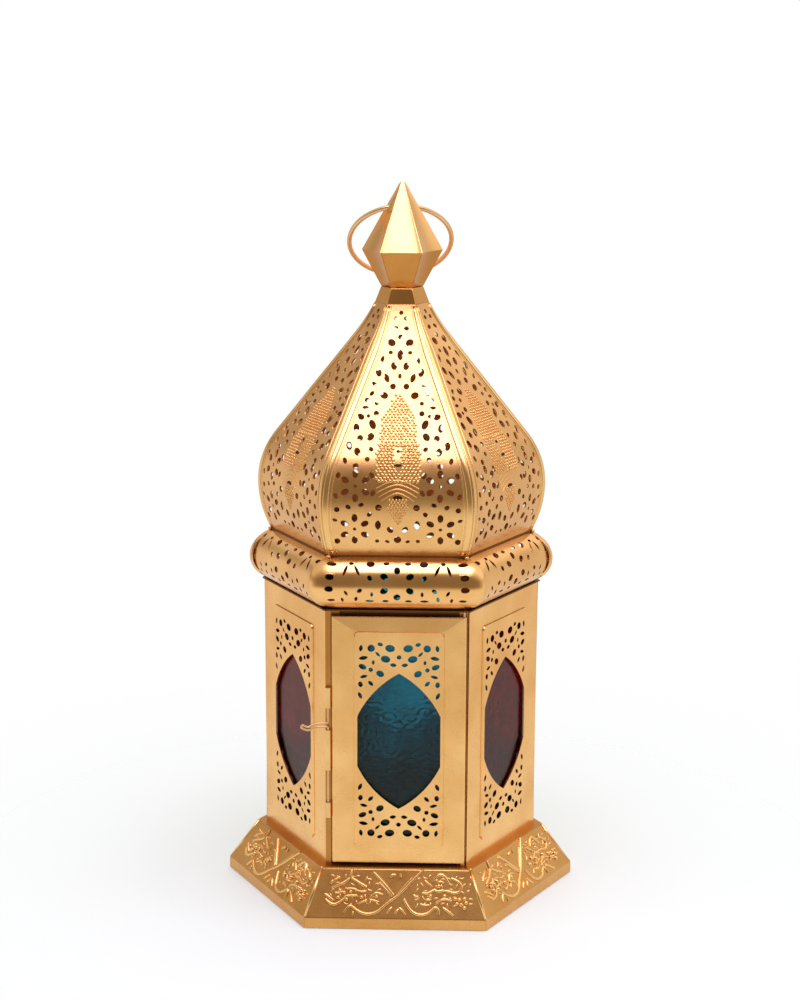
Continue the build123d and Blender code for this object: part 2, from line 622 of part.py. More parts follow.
def dome_marks():
    """Centres, joints and slopes of the dome's profile, as distance out and height."""
    slope = math.radians(DOME_SLOPE)
    end = math.radians(DOME_NECK_SLOPE)
    wide = flat(DOME_WIDE_CORNER)
    sag = wide - flat(DOME_FOOT_CORNER)
    wide_up = DOME_FOOT + DOME_WIDE_RISE
    foot_radius = (DOME_WIDE_RISE ** 2 + sag ** 2) / (2 * sag)
    shoulder_out = wide - DOME_SHOULDER_RADIUS
    joint_out = shoulder_out + DOME_SHOULDER_RADIUS * math.cos(slope)
    joint_up = wide_up + DOME_SHOULDER_RADIUS * math.sin(slope)
    flare_out = DOME_FLARE_RADIUS * (math.cos(end) - math.cos(slope))
    flare_up = DOME_FLARE_RADIUS * (math.sin(slope) - math.sin(end))
    run = (joint_out - flat(NECK_CORNER) - flare_out) / math.sin(slope)
    flare_joint = (joint_out - run * math.sin(slope), joint_up + run * math.cos(slope))
    return {
        "foot_centre": (wide - foot_radius, wide_up),
        "foot_radius": foot_radius,
        "shoulder_centre": (shoulder_out, wide_up),
        "flare_centre": (
            flare_joint[0] + DOME_FLARE_RADIUS * math.cos(slope),
            flare_joint[1] + DOME_FLARE_RADIUS * math.sin(slope),
        ),
        "joint_up": joint_up,
        "joint_out": joint_out,
        "flare_up": flare_joint[1],
        "neck_up": flare_joint[1] + flare_up,
        "slope": slope,
        "end": end,
    }


MARKS = dome_marks()
NECK_FOOT = MARKS["neck_up"]
FINIAL_FOOT = NECK_FOOT + NECK_HEIGHT
FINIAL_WIDE = FINIAL_FOOT + FINIAL_LOWER_HEIGHT
FINIAL_TIP = FINIAL_WIDE + FINIAL_UPPER_HEIGHT


def dome_flat(up):
    """Distance out from the axis to the gore's outer face at a height."""
    if up < MARKS["foot_centre"][1]:
        out, level = MARKS["foot_centre"]
        return out + math.sqrt(MARKS["foot_radius"] ** 2 - (up - level) ** 2)
    if up < MARKS["joint_up"]:
        out, level = MARKS["shoulder_centre"]
        return out + math.sqrt(DOME_SHOULDER_RADIUS ** 2 - (up - level) ** 2)
    if up < MARKS["flare_up"]:
        return MARKS["joint_out"] - (up - MARKS["joint_up"]) * math.tan(MARKS["slope"])
    out, level = MARKS["flare_centre"]
    return out - math.sqrt(DOME_FLARE_RADIUS ** 2 - (level - up) ** 2)


def dome_edges(depth):
    """The dome's profile from below its foot to above its neck, set in by a depth."""

    def arc(centre, radius, start, stop):
        marks = []
        for turn in (start, (start + stop) / 2, stop):
            marks.append((0, -(centre[0] + radius * math.cos(turn)), centre[1] + radius * math.sin(turn)))
        return ThreePointArc(*marks)

    foot_turn = -math.asin(DOME_WIDE_RISE / MARKS["foot_radius"])
    spare = OVERRUN / DOME_FLARE_RADIUS
    flare_radius = DOME_FLARE_RADIUS + depth
    foot = arc(MARKS["foot_centre"], MARKS["foot_radius"] - depth, foot_turn - spare, 0)
    shoulder = arc(MARKS["shoulder_centre"], DOME_SHOULDER_RADIUS - depth, 0, MARKS["slope"])
    flare = arc(MARKS["flare_centre"], flare_radius, math.pi + MARKS["slope"], math.pi + MARKS["end"] - spare)
    return [foot, shoulder, Line(shoulder @ 1, flare @ 0), flare]


def dome_gore():
    """One gore of the dome, pierced from the front."""
    outer = dome_edges(0)
    inner = dome_edges(SHEET)
    foot_edge = Line(inner[0] @ 0, outer[0] @ 0)
    head_edge = Line(outer[-1] @ 1, inner[-1] @ 1)
    profile = make_face(Wire(outer + [head_edge] + inner + [foot_edge]))
    gore = front_piece(profile, DOME_WIDE_CORNER, DOME_FOOT, NECK_FOOT)
    reach = DOME_WIDE_CORNER + OVERRUN
    height = NECK_FOOT - DOME_FOOT
    cutters = []
    for across, up, long, wide, tilt in mirrored(GORE_SHARES):
        z = DOME_FOOT + up * height
        x = across * dome_flat(z) * TAN
        cutters.append(front_cutter(x, z, long * GORE_HOLE, wide * GORE_HOLE, tilt, reach))
    petal_long, petal_wide = (share * GORE_HOLE for share in PETAL_SHARES)
    eye = ROSETTE_EYE_SHARE * GORE_HOLE
    for across, up in GORE_ROSETTE_SHARES:
        z = DOME_FOOT + up * height
        for x in (across * dome_flat(z) * TAN, -across * dome_flat(z) * TAN):
            cutters.append(front_cutter(x, z, eye, eye, 0, reach))
            for petal in range(ROSETTE_PETALS):
                turn = 360.0 * (petal + 0.5) / ROSETTE_PETALS
                petal_x = x + ROSETTE_RADIUS * math.cos(math.radians(turn))
                petal_z = z + ROSETTE_RADIUS * math.sin(math.radians(turn))
                cutters.append(front_cutter(petal_x, petal_z, petal_long, petal_wide, turn, reach))
    return gore - cutters


def cone(low_corner, high_corner, low, high):
    """Six-sided taper between two levels."""
    return loft([Pos(0, 0, low) * hexagon(low_corner), Pos(0, 0, high) * hexagon(high_corner)], ruled=True)


def neck_collar():
    """Tapered six-sided sleeve on top of the gores."""
    wall = SHEET / COS
    outer = cone(NECK_CORNER, NECK_TOP_CORNER, NECK_FOOT, FINIAL_FOOT)
    return outer - cone(NECK_CORNER - wall, NECK_TOP_CORNER - wall, NECK_FOOT, FINIAL_FOOT)


def finial_lower():
    """Hollow cone that widens upwards, closed at its foot."""
    slope = math.atan2(flat(FINIAL_WIDE_CORNER - NECK_TOP_CORNER), FINIAL_LOWER_HEIGHT)
    outer = cone(NECK_TOP_CORNER, FINIAL_WIDE_CORNER, FINIAL_FOOT, FINIAL_WIDE)
    return outer - Pos(0, 0, SHEET / math.sin(slope)) * outer


def ring_axis_plane():
    """Plane at the ring's pivot: X along the pivot axis, Y back, Z up."""
    return Plane(origin=(0, 0, FINIAL_TIP - RING_DROP)).rotated((0, 0, RING_TURN))


def finial_upper():
    """Hollow pointed cone with the two holes of the ring."""
    slope = math.atan2(flat(FINIAL_WIDE_CORNER - FINIAL_TIP_CORNER), FINIAL_UPPER_HEIGHT)
    outer = cone(FINIAL_WIDE_CORNER, FINIAL_TIP_CORNER, FINIAL_WIDE, FINIAL_TIP)
    shell = outer - Pos(0, 0, -SHEET / math.sin(slope)) * outer
    hole_pin = Cylinder(RING_WIRE_RADIUS + RING_CLEARANCE, FINIAL_WIDE_CORNER * 2)
    return shell - ring_axis_plane() * (Rot(0, 90, 0) * hole_pin)


def hanging_ring():
    """Round wire ring through the finial, leaning back."""
    taper = (FINIAL_WIDE_CORNER - FINIAL_TIP_CORNER) / FINIAL_UPPER_HEIGHT
    half_chord = flat(FINIAL_TIP_CORNER + taper * RING_DROP)
    reach = math.sqrt(RING_RADIUS ** 2 - half_chord ** 2)
    ring = Rot(90, 0, 0) * Torus(RING_RADIUS, RING_WIRE_RADIUS)
    return ring_axis_plane() * (Rot(RING_LEAN, 0, 0) * Pos(0, 0, -reach) * ring)


def write(name, shape):
    """Write one piece to its own file, without the curves that a reader works out again."""
    export_step(shape, f"parts/{name}.step", write_pcurves=False)


def main():
    os.makedirs("parts", exist_ok=True)
    write("base_top_plate", base_top_plate())
    write("candle_cup", candle_cup())
    post = corner_post()
    for name, turns in (("right", 0), ("back_right", 1), ("back_left", 2), ("left", 3)):
        write(f"corner_post_{name}", turned(post, turns))
    write("corner_post_hinge", hinge_post())
    write("corner_post_latch", latch_post())
    write("door_header", cross_stop(LOWER_DECK - STOP_HEIGHT))
    write("door_sill", cross_stop(FLOOR))
    write("hinge_wire", hinge_wire())
    write("door_panel", door_panel())
    write("door_pane", pane(DOOR_MIDDLE, DOOR_FACE - SHEET))
    write("door_pane_clips", pane_clips(DOOR_MIDDLE, DOOR_FACE - SHEET))
    write("latch_guide_lower", latch_guide(GUIDE_LOWER, GUIDE_LOWER_LENGTH))
    write("latch_guide_middle", latch_guide(GUIDE_MIDDLE, GUIDE_MIDDLE_LENGTH))
    write("latch_guide_upper", latch_guide(GUIDE_UPPER, GUIDE_UPPER_LENGTH))
    write("latch_wire", latch_wire())
    write("lower_deck", lower_deck())
    write("upper_deck", upper_deck())
    write("neck_collar", neck_collar())
    write("finial_lower", finial_lower())
    write("finial_upper", finial_upper())
    write("hanging_ring", hanging_ring())
    skirt = base_panel()
    panel = side_panel()
    side_pane = pane(0, BODY_FLAT - SHEET)
    side_clips = pane_clips(0, BODY_FLAT - SHEET)
    rim = rim_segment()
    gore = dome_gore()
    for place, name in enumerate(PLACES):
        write(f"base_panel_{name}", turned(skirt, place))
        write(f"rim_segment_{name}", turned(rim, place))
        write(f"dome_gore_{name}", turned(gore, place))
        if place:
            write(f"side_panel_{name}", turned(panel, place))
            write(f"side_pane_{name}", turned(side_pane, place))
            write(f"side_pane_clips_{name}", turned(side_clips, place))


if __name__ == "__main__":
    main()
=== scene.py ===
"""Looks of the six-sided pierced lantern: satin gold sheet, figured glass, beaded dome, repousse base.
Metres, +Z up, the door faces -Y. Pieces are shaped at the front and turned to the six sides."""
import math

import bmesh
import bpy
from mathutils import Matrix, Vector, noise
from mathutils.bvhtree import BVHTree


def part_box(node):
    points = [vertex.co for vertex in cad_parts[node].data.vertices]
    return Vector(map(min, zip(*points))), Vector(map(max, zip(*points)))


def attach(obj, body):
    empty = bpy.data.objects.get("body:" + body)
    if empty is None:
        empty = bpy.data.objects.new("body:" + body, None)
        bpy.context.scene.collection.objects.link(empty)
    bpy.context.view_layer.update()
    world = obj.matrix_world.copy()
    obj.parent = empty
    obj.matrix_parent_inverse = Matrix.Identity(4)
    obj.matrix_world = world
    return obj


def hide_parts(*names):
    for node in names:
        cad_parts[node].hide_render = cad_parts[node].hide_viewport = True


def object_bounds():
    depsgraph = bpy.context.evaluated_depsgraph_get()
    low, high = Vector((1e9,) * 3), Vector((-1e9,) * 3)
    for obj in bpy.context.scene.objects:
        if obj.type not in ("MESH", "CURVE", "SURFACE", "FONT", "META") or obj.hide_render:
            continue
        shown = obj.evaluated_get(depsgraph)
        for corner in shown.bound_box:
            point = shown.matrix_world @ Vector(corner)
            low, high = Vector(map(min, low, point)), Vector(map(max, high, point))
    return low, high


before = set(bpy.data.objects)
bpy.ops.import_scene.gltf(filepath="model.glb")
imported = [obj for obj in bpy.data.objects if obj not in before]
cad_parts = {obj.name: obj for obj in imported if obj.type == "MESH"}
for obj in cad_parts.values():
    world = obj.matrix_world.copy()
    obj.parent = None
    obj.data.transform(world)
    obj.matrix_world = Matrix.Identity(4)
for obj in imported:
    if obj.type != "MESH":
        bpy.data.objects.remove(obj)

CAD_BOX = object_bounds()
MM = 0.001
PLACES = ("front", "front_right", "back_right", "back", "back_left", "front_left")
SIXTH = math.radians(60)

# Camera, fitted to the photograph's corners
CAMERA_AZIMUTH = math.radians(1.66)
CAMERA_REACH = 898.8 * MM
CAMERA_HEIGHT = 368.6 * MM
CAMERA_PITCH = math.radians(12.68)
CAMERA_ROLL = math.radians(0.24)
CAMERA_LENS = 78.35
CAMERA_SENSOR = 36
CAMERA_CLIP = 50 * MM
AXIS_OFFSET_SHARE = 0.00131  # the axis stands this share of the long side right of the middle

# Light: strengths of the white sweep and of the dim room behind the camera
WORLD_FRONT = 1.0
WORLD_BACK = 0.82
WORLD_LEFT = 0.37
WORLD_RIGHT = 0.75
WORLD_HIGH = 0.45  # more light from high up
WORLD_ROOM = 0.27
ROOM_TINT = (1.0, 0.80, 0.60)
WARM_BACK = 0.45  # how much of that tint the sweep has behind the lantern

# Where the world changes, along the X, Y and Z of a direction
SIDE_TURN = 0.6
DEPTH_TURN = 0.3
UPPER_RISE = (0.02, 0.35)
HIGH_RISE = (0.31, 0.45)
ROOM_DEPTH = (-0.75, -0.25)
ROOM_FOOT = (-0.31, -0.14)
ROOM_HEAD = (0.80, 0.95)
WARM_DEPTH = (0.0, 0.5)

SOFTBOX_POWER = 1.85
SOFTBOX_SIZE = (0.42, 0.375)
SOFTBOX_TONE = (1.0, 0.87, 1.20)
SOFTBOX_PLACE = (0.03, -0.225, 0.62)
FLOOR_NEAR = 0.10
FLOOR_FAR = 0.34
FLOOR_ALPHA = 0.75  # the rest is the white behind it
FLOOR_DIM_SHARE = 0.98
FLOOR_ROUGHNESS = 0.6
FLOOR_DROP = 0.2 * MM

# Colours, linear
GOLD = (1.0, 0.62, 0.245)
GOLD_DEEP = (0.76, 0.42, 0.135)
GOLD_DOME = (0.86, 0.50, 0.175)
GOLD_PALE = (0.93, 0.60, 0.25)
GOLD_RIM = (0.93, 0.55, 0.20)
GOLD_WIRE = (0.80, 0.53, 0.27)
TIN = (0.76, 0.66, 0.54)  # bare inside of the panels
# painted shade: dark brown for the ledge under the door, the jamb strip beside it and the finial's lower cone
GOLD_SHADE_BROWN = (0.60, 0.285, 0.07)
GOLD_DULL = (0.95, 0.46, 0.15)  # inside of the other sheets
GOLD_SHADE = (0.20, 0.09, 0.032)  # creases and plates in the dark
# painted shade: near-black discs stand for openings that look into the dark inside
PIT_SHADE = (0.07, 0.03, 0.012)
TEAL = (0.028, 0.44, 0.56)
RUBY = (0.44, 0.045, 0.070)
FLOOR_WHITE = (0.88, 0.94, 0.88)

# Noises: scale, detail and roughness
CLOUDS = (38, 3.0, 0.55)
SMUDGES = (130, 4.0, 0.6)
GRAIN = (2600, 2.0, 0.6)
WAVES = (24, 1.0, 0.4)
STREAKS = (60, 3.0, 0.5)
RIPPLES = (300, 2.0, 0.5)
FLOOR_CLOUDS = (3, 2.0, 0.5)
NOISE_MIDDLE = 0.5

# Finish of the metal
CLOUD_RANGE = (0.35, 0.70)
DEEP_SHARES = (0.86, 0.78, 0.66)  # tone of the deeper clouds
SMUDGE_GLOSS = 0.16
GRAIN_GLOSS = 0.05
WAVE_DEPTH = 1.2 * MM
GRAIN_DEPTH = 0.1 * MM
CREASE_RANGE = (0.30, 0.60)  # how far a face looks out from the axis; below it the painted crease shade sets in
INSIDE_RANGE = (-0.35, -0.25)
LINING_METAL = 0.15
LACQUER_ROUGHNESS = 0.25

# Finish of the glass
STREAK_RANGE = (0.3, 0.7)
GLASS_DEEP_SHARE = 0.55
RIPPLE_STRENGTH = 0.3
RIPPLE_DEPTH = 0.3 * MM
GLOSS_RANGE = (0.2, 0.8)
GLASS_ROUGHNESS = (0.12, 0.24)
GLASS_IOR = 1.34

# Finding points on the solids
MERGE = 0.002 * MM
ON_LEVEL = 0.02 * MM  # a point this near a level lies on it
LEVEL_REACH = 0.1 * MM  # and is drawn to it from this far
END_REACH = 0.05 * MM
SIDE_REACH = 0.4 * MM
PROBE_LEAD = 10 * MM  # rays start this far in front of the solids
FLAT_ANGLE = math.radians(1)

# Panels and their raised fields
FIELD_HALF = (19.1 * MM, 47.15 * MM)
FIELD_MIDDLE = 76.6 * MM
DOOR_MIDDLE = 0.872 * MM
FIELD_RISE = 0.8 * MM
FRAME_RISE = 0.22 * MM  # the frame of a panel slopes up to its field
FIELD_CORNER = 1.5 * MM
FIELD_CORNER_STEPS = 3
BRINK_RADIUS = 0.16 * MM  # rounded edge of the field
BRINK_STEPS = 2
BRINK_REACH = 0.6 * MM
BRINK_ANGLE = 0.5
STEP_RUN = 0.6 * MM  # how far the foot of the step goes in, which makes it steep
STEP_REACH_SHARE = 0.05  # the step stands this near the edge of the field
STEP_FOOT_SHARE = 1.001
FOLD_RADIUS = 0.55 * MM
FOLD_STEPS = 3

# Rim and upper deck
RIM_ROUND = 5.5 * MM  # rounded ends of the rim's segments
RIM_SINK = 4.2 * MM
RIM_LEVEL_SHARE = 0.5  # of that sink, up and down
RIM_BULGE_GAIN = 1.6
RIM_REACH = 3.6 * MM  # every other segment laps over its neighbours
RIM_CUTS = tuple(value * 3.5 * MM for value in range(-7, 8))  # even the faces out along a segment
RIM_RINGS = tuple(value * MM for value in (0.3, 0.9, 1.7, 2.7, 4.0, 5.5))
DECK_INSET = 1.5 * MM  # groove between the rim and the dome
DECK_EDGE = 1.0 * MM

# Bands along both edges of each gore: in from the edge, width and rise; and their section as shares of both
GORE_BANDS = ((0.25 * MM, 2.5 * MM, 0.34 * MM), (3.2 * MM, 0.7 * MM, 0.18 * MM))
BAND_SECTION_SHARES = (
    (0, -0.4), (0.05, 0.4), (0.25, 0.9), (0.5, 1.0), (0.75, 0.9), (0.95, 0.4), (1, -0.4),
)
BAND_STEPS = 44
BAND_FULL = 12.0 * MM  # half width of the gore below which its bands grow narrower
GORE_PROBES = tuple(
    value * MM for value in (0.0, 1.3, 2.9, 4.1, 6.3, 8.2, 10.7, 13.6, 17.0, 21.0, 25.5)
)

# Motif in the middle of each gore: half width at each height
MOTIF_OUTLINE = (
    (168.2 * MM, 0.3 * MM),
    (174.6 * MM, 4.6 * MM),
    (178.9 * MM, 3.4 * MM),
    (184.6 * MM, 8.6 * MM),
    (188.0 * MM, 9.2 * MM),
    (196.0 * MM, 8.8 * MM),
    (199.4 * MM, 7.6 * MM),
    (209.0 * MM, 6.8 * MM),
    (211.4 * MM, 4.6 * MM),
    (214.6 * MM, 3.0 * MM),
    (218.0 * MM, 0.3 * MM),
)
# Its beads: from, to, pitch, length as a share of the width, and tilt away from the middle in degrees
BEAD_ROWS = (
    (168.2 * MM, 178.9 * MM, 1.35 * MM, 1.0, 0),
    (185.2 * MM, 198.8 * MM, 1.55 * MM, 1.55, 38),
    (198.8 * MM, 218.0 * MM, 1.50 * MM, 1.0, 0),
)
BEAD_SHARE = 0.43  # radius of a bead as a share of the pitch
BEAD_RISE_SHARE = 0.6
BEAD_STRAY = 0.20  # how far a bead may stand out of line, as a share of the pitch
BEAD_MESH = (8, 4)  # sides and rings
BEAD_ROW_SHARE = 0.80  # from row to row, as a share of the pitch
BEAD_DEPTH = 0.3 * MM  # what lies further back is the rim of a hole, and takes no bead
MOTIF_PLAIN = (1.5 * MM, 189.6 * MM, 197.6 * MM)  # half width, foot and head of the smooth middle
ARCHES = (  # top and half width
    (185.9 * MM, 8.6 * MM),
    (184.2 * MM, 8.3 * MM),
    (182.5 * MM, 7.6 * MM),
    (180.9 * MM, 6.6 * MM),
)
ARCH_DROP = 3.3 * MM
ARCH_RADIUS = 0.34 * MM
ARCH_POINTS = 9
ARCH_POWER = 1.5
ARCH_TAPER = 0.4
MOTIF_PITS = (  # height, half length and half width
    (196.5 * MM, 0.75 * MM, 0.65 * MM),
    (191.4 * MM, 1.6 * MM, 0.6 * MM),
    (178.9 * MM, 1.9 * MM, 0.9 * MM),
)
PIT_LIFT = 0.12 * MM
PIT_SIDES = 16

# Strokes: sides of their section, and steps and order of their lines
STROKE_ROUNDNESS = 2
STROKE_STEPS = 4
STROKE_ORDER = 3

# Base relief: strokes on the slope. Each point: across and up as shares of the half width and height of
# the panel, and thickness as a share of the stroke's half width.
RELIEF_HALF_WIDTH = 0.74 * MM
RELIEF_LOW = 0.08  # nothing stands out over the lip
RELIEF_SHARES = (
    ((0.33, 1.00, 0.8), (0.22, 0.81, 1), (0.11, 0.60, 1), (0.01, 0.44, 1), (-0.07, 0.35, 1),
     (-0.15, 0.23, 1), (-0.22, 0.13, 1), (-0.31, 0.08, 1), (-0.40, 0.10, 1), (-0.48, 0.18, 0.9),
     (-0.54, 0.27, 0.9), (-0.59, 0.19, 0.9), (-0.62, 0.10, 0.7)),
    ((-0.27, 0.93, 1), (-0.19, 0.80, 1), (-0.10, 0.63, 1), (-0.02, 0.47, 0.8)),
    ((0.10, 0.41, 0.8), (0.14, 0.27, 1), (0.20, 0.14, 1), (0.28, 0.08, 1), (0.38, 0.10, 1),
     (0.44, 0.19, 0.9), (0.49, 0.26, 0.9), (0.53, 0.16, 0.9), (0.52, 0.07, 0.7)),
    ((0.21, 0.85, 0.7), (0.12, 0.68, 0.9), (0.03, 0.51, 0.6)),
    ((-0.20, 0.73, 0.6), (-0.12, 0.60, 0.9), (-0.04, 0.44, 0.6)),
    ((-0.07, 0.83, 0.8), (-0.05, 0.90, 1.3), (-0.00, 0.88, 0.8)),
    ((0.05, 0.91, 0.9), (0.06, 0.83, 0.9)),
    ((-0.11, 0.10, 0.5), (-0.07, 0.18, 1.1), (-0.04, 0.23, 0.6)),
    ((-0.01, 0.09, 0.6), (0.02, 0.16, 1.1), (0.04, 0.20, 0.5)),
    ((0.05, 0.23, 0.5), (0.08, 0.18, 1.1), (0.13, 0.07, 0.5)),
    ((0.44, 0.74, 0.7), (0.49, 0.86, 1), (0.54, 0.91, 1.1), (0.60, 0.86, 1.1), (0.65, 0.70, 0.7)),
    ((0.67, 0.83, 0.7), (0.73, 0.80, 1), (0.80, 0.69, 1), (0.78, 0.57, 1), (0.71, 0.52, 1),
     (0.62, 0.58, 0.9), (0.57, 0.57, 0.6)),
    ((0.35, 0.78, 0.7), (0.39, 0.72, 1), (0.44, 0.65, 0.6)),
    ((0.32, 0.53, 0.7), (0.38, 0.50, 1), (0.43, 0.56, 0.9), (0.48, 0.61, 0.6)),
    ((0.47, 0.59, 0.7), (0.51, 0.54, 1.1), (0.57, 0.59, 0.7)),
    ((0.50, 0.74, 0.6), (0.54, 0.78, 0.9), (0.58, 0.73, 0.6)),
    ((0.22, 0.49, 0.6), (0.25, 0.41, 1.2), (0.29, 0.42, 0.6)),
    ((0.36, 0.38, 0.8), (0.41, 0.41, 1.2), (0.43, 0.38, 0.7)),
    ((0.30, 0.31, 0.5), (0.35, 0.26, 0.9), (0.41, 0.29, 0.5)),
    ((0.57, 0.24, 0.7), (0.64, 0.16, 1.1), (0.70, 0.08, 0.6)),
    ((0.68, 0.37, 0.6), (0.62, 0.41, 0.9), (0.55, 0.40, 0.9), (0.48, 0.33, 0.5)),
    ((-0.53, 0.99, 0.7), (-0.54, 0.90, 1.1), (-0.55, 0.78, 0.9)),
    ((-0.54, 0.83, 0.8), (-0.61, 0.72, 1.1), (-0.68, 0.67, 1.1), (-0.77, 0.59, 0.7)),
    ((-0.53, 0.81, 0.8), (-0.45, 0.72, 1.1), (-0.35, 0.63, 0.8)),
    ((-0.79, 0.68, 0.6), (-0.74, 0.77, 1), (-0.67, 0.83, 0.7)),
    ((-0.85, 0.48, 0.7), (-0.80, 0.43, 1.1), (-0.74, 0.34, 0.7)),
    ((-0.84, 0.38, 0.6), (-0.80, 0.30, 1), (-0.73, 0.26, 1), (-0.66, 0.33, 0.9), (-0.61, 0.41, 0.6)),
    ((-0.62, 0.43, 0.7), (-0.54, 0.47, 1.1), (-0.47, 0.45, 0.7)),
    ((-0.73, 0.51, 0.7), (-0.67, 0.49, 1.1), (-0.63, 0.54, 0.6)),
    ((-0.31, 0.38, 0.6), (-0.27, 0.47, 1), (-0.22, 0.53, 1), (-0.15, 0.48, 0.6)),
    ((-0.31, 0.37, 0.7), (-0.26, 0.37, 1), (-0.20, 0.33, 0.6)),
    ((-0.46, 0.56, 0.5), (-0.41, 0.52, 0.9), (-0.35, 0.55, 0.5)),
    ((-0.45, 0.28, 0.6), (-0.40, 0.33, 1), (-0.34, 0.37, 0.6)),
    ((-0.52, 0.02, 0.5), (-0.50, 0.09, 0.9), (-0.51, 0.14, 0.5)),
    ((-0.59, 0.59, 0.6), (-0.52, 0.61, 0.9), (-0.46, 0.57, 0.5)),
)
RELIEF_BOSS_SHARES = (
    (0.72, 0.41), (0.77, 0.40), (0.83, 0.42), (0.74, 0.32), (0.79, 0.30), (0.85, 0.34), (0.83, 0.24),
    (0.52, 0.67), (0.26, 0.44), (-0.67, 0.55), (-0.54, 0.53), (-0.62, 0.51), (-0.41, 0.42),
    (-0.23, 0.44), (-0.59, 0.38), (-0.69, 0.41), (0.59, 0.47), (0.42, 0.47),
)
BOSS_RADIUS = 0.95 * MM
BOSS_MESH = (12, 8)
LEAF_PITCH = 2.7 * MM
LEAF_HALF_LENGTH = 1.0 * MM
LEAF_THICKNESS = 0.75  # as a share of a stroke's
LEAF_TIP = 0.3
LEAF_CURL = 0.5
LEAF_STRAY = 0.5
LEAF_SEED = 7
LEAF_SHARES = ((-0.86, -0.16, 0.16, 0.84), (0.18, 0.88, 0.16, 0.84))  # left, right, low, high
SLOPE_PROBE_SHARES = (0.45, 0.85)

# Soldered seams
SEAM_RADIUS = 0.75 * MM
SEAM_MESH = (10, 6)
SEAM_SINK_SHARES = (1.25, 0.45)  # at the foot and the head of a seam
ROD_SIDES = 10
HEAD_RADIUS = 0.6 * MM  # rounded head of the skirt
HEAD_SINK_SHARES = (0.6, 0.2)  # back and down
SOLDER_RADIUS = 1.1 * MM
SOLDER_MESH = (14, 8)
SOLDER_SHARES = (0.9, 0.9, 0.6, 1)

# Figured glass
FIGURE_PITCH = 7.0 * MM
FIGURE_WAVE = 2.6 * MM
FIGURE_DEPTH = 0.20 * MM
FIGURE_STRAY = 0.5
FIGURE_SQUASH = 1.5
GLASS_STEP = 0.7 * MM
GLASS_EDGE = 0.05 * MM  # a pane stands this far inside its solid

# Softened edges of the plain pieces
EDGE_ANGLE = math.radians(18)
EDGE_SEGMENTS = 3
EDGE_CREASE = math.radians(35)
NECK_EDGE = 0.5 * MM
BASE_EDGE = 0.3 * MM

# Finial: levels from the wide edge as shares of the height, with how far the edge is rounded in there, and
# points across a facet
FACET_LEVELS = ((0.0, 0.0), (0.06, 0.0), (0.35, 0.0), (0.7, 0.0), (0.97, 0.0), (1.0, 0.25 * MM))
FACET_STEPS = (-1.0, -0.95, -0.86, -0.6, -0.3, 0.0, 0.3, 0.6, 0.86, 0.95)
FACET_HOLLOW = 0.06
EDGE_EASE = 0.03


class Field:
    """A socket of one material's nodes, with the arithmetic that is used on it."""

    def __init__(self, tree, socket=None):
        self.tree = tree
        self.socket = socket

    def make(self, kind, settings=None, sockets=None, output=0):
        """Adds any node: its settings come first, then the values or links of its sockets."""
        node = self.tree.nodes.new(kind)
        for name, setting in (settings or {}).items():
            setattr(node, name, setting)
        for name, given in (sockets or {}).items():
            if isinstance(given, Field):
                self.tree.links.new(given.socket, node.inputs[name])
            else:
                node.inputs[name].default_value = given
        return Field(self.tree, node.outputs[output])

    def math(self, operation, first, second):
        return self.make("ShaderNodeMath", {"operation": operation}, {0: first, 1: second})

    def __add__(self, other):
        return self.math("ADD", self, other)

    def __sub__(self, other):
        return self.math("SUBTRACT", self, other)

    def __mul__(self, other):
        return self.math("MULTIPLY", self, other)

    def __rsub__(self, other):
        return self.math("SUBTRACT", other, self)

    __radd__ = __add__

    def mixed(self, low, high):
        """Colour between two colours, by this value."""
        settings = {"data_type": "RGBA"}
        return self.make("ShaderNodeMix", settings, {0: self, 6: low, 7: high}, output=2)

    def between(self, low, high, to_low, to_high):
        """This value carried from one range to another, held at its ends."""
        sockets = {"Value": self, "From Min": low, "From Max": high, "To Min": to_low, "To Max": to_high}
        return self.make("ShaderNodeMapRange", None, sockets)


def colour(rgb):
    return (*rgb, 1)


def new_material(name):
    """Empty material with a Principled shader: the material, its node maker, its shader and its place."""
    material = bpy.data.materials.new(name)
    material.use_nodes = True
    tree = material.node_tree
    maker = Field(tree)
    place = maker.make("ShaderNodeTexCoord", output="Object")
    return material, maker, tree.nodes["Principled BSDF"], place


def feed(maker, shader, **sockets):
    """Links or sets a shader's sockets, named with underscores for spaces."""
    for name, given in sockets.items():
        socket = shader.inputs[name.replace("_", " ")]
        if isinstance(given, Field):
            maker.tree.links.new(given.socket, socket)
        else:
            socket.default_value = given


def speckle(maker, place, values):
    """Noise with one set of scale, detail and roughness."""
    scale, detail, roughness = values
    sockets = {"Vector": place, "Scale": scale, "Detail": detail, "Roughness": roughness}
    return maker.make("ShaderNodeTexNoise", None, sockets)


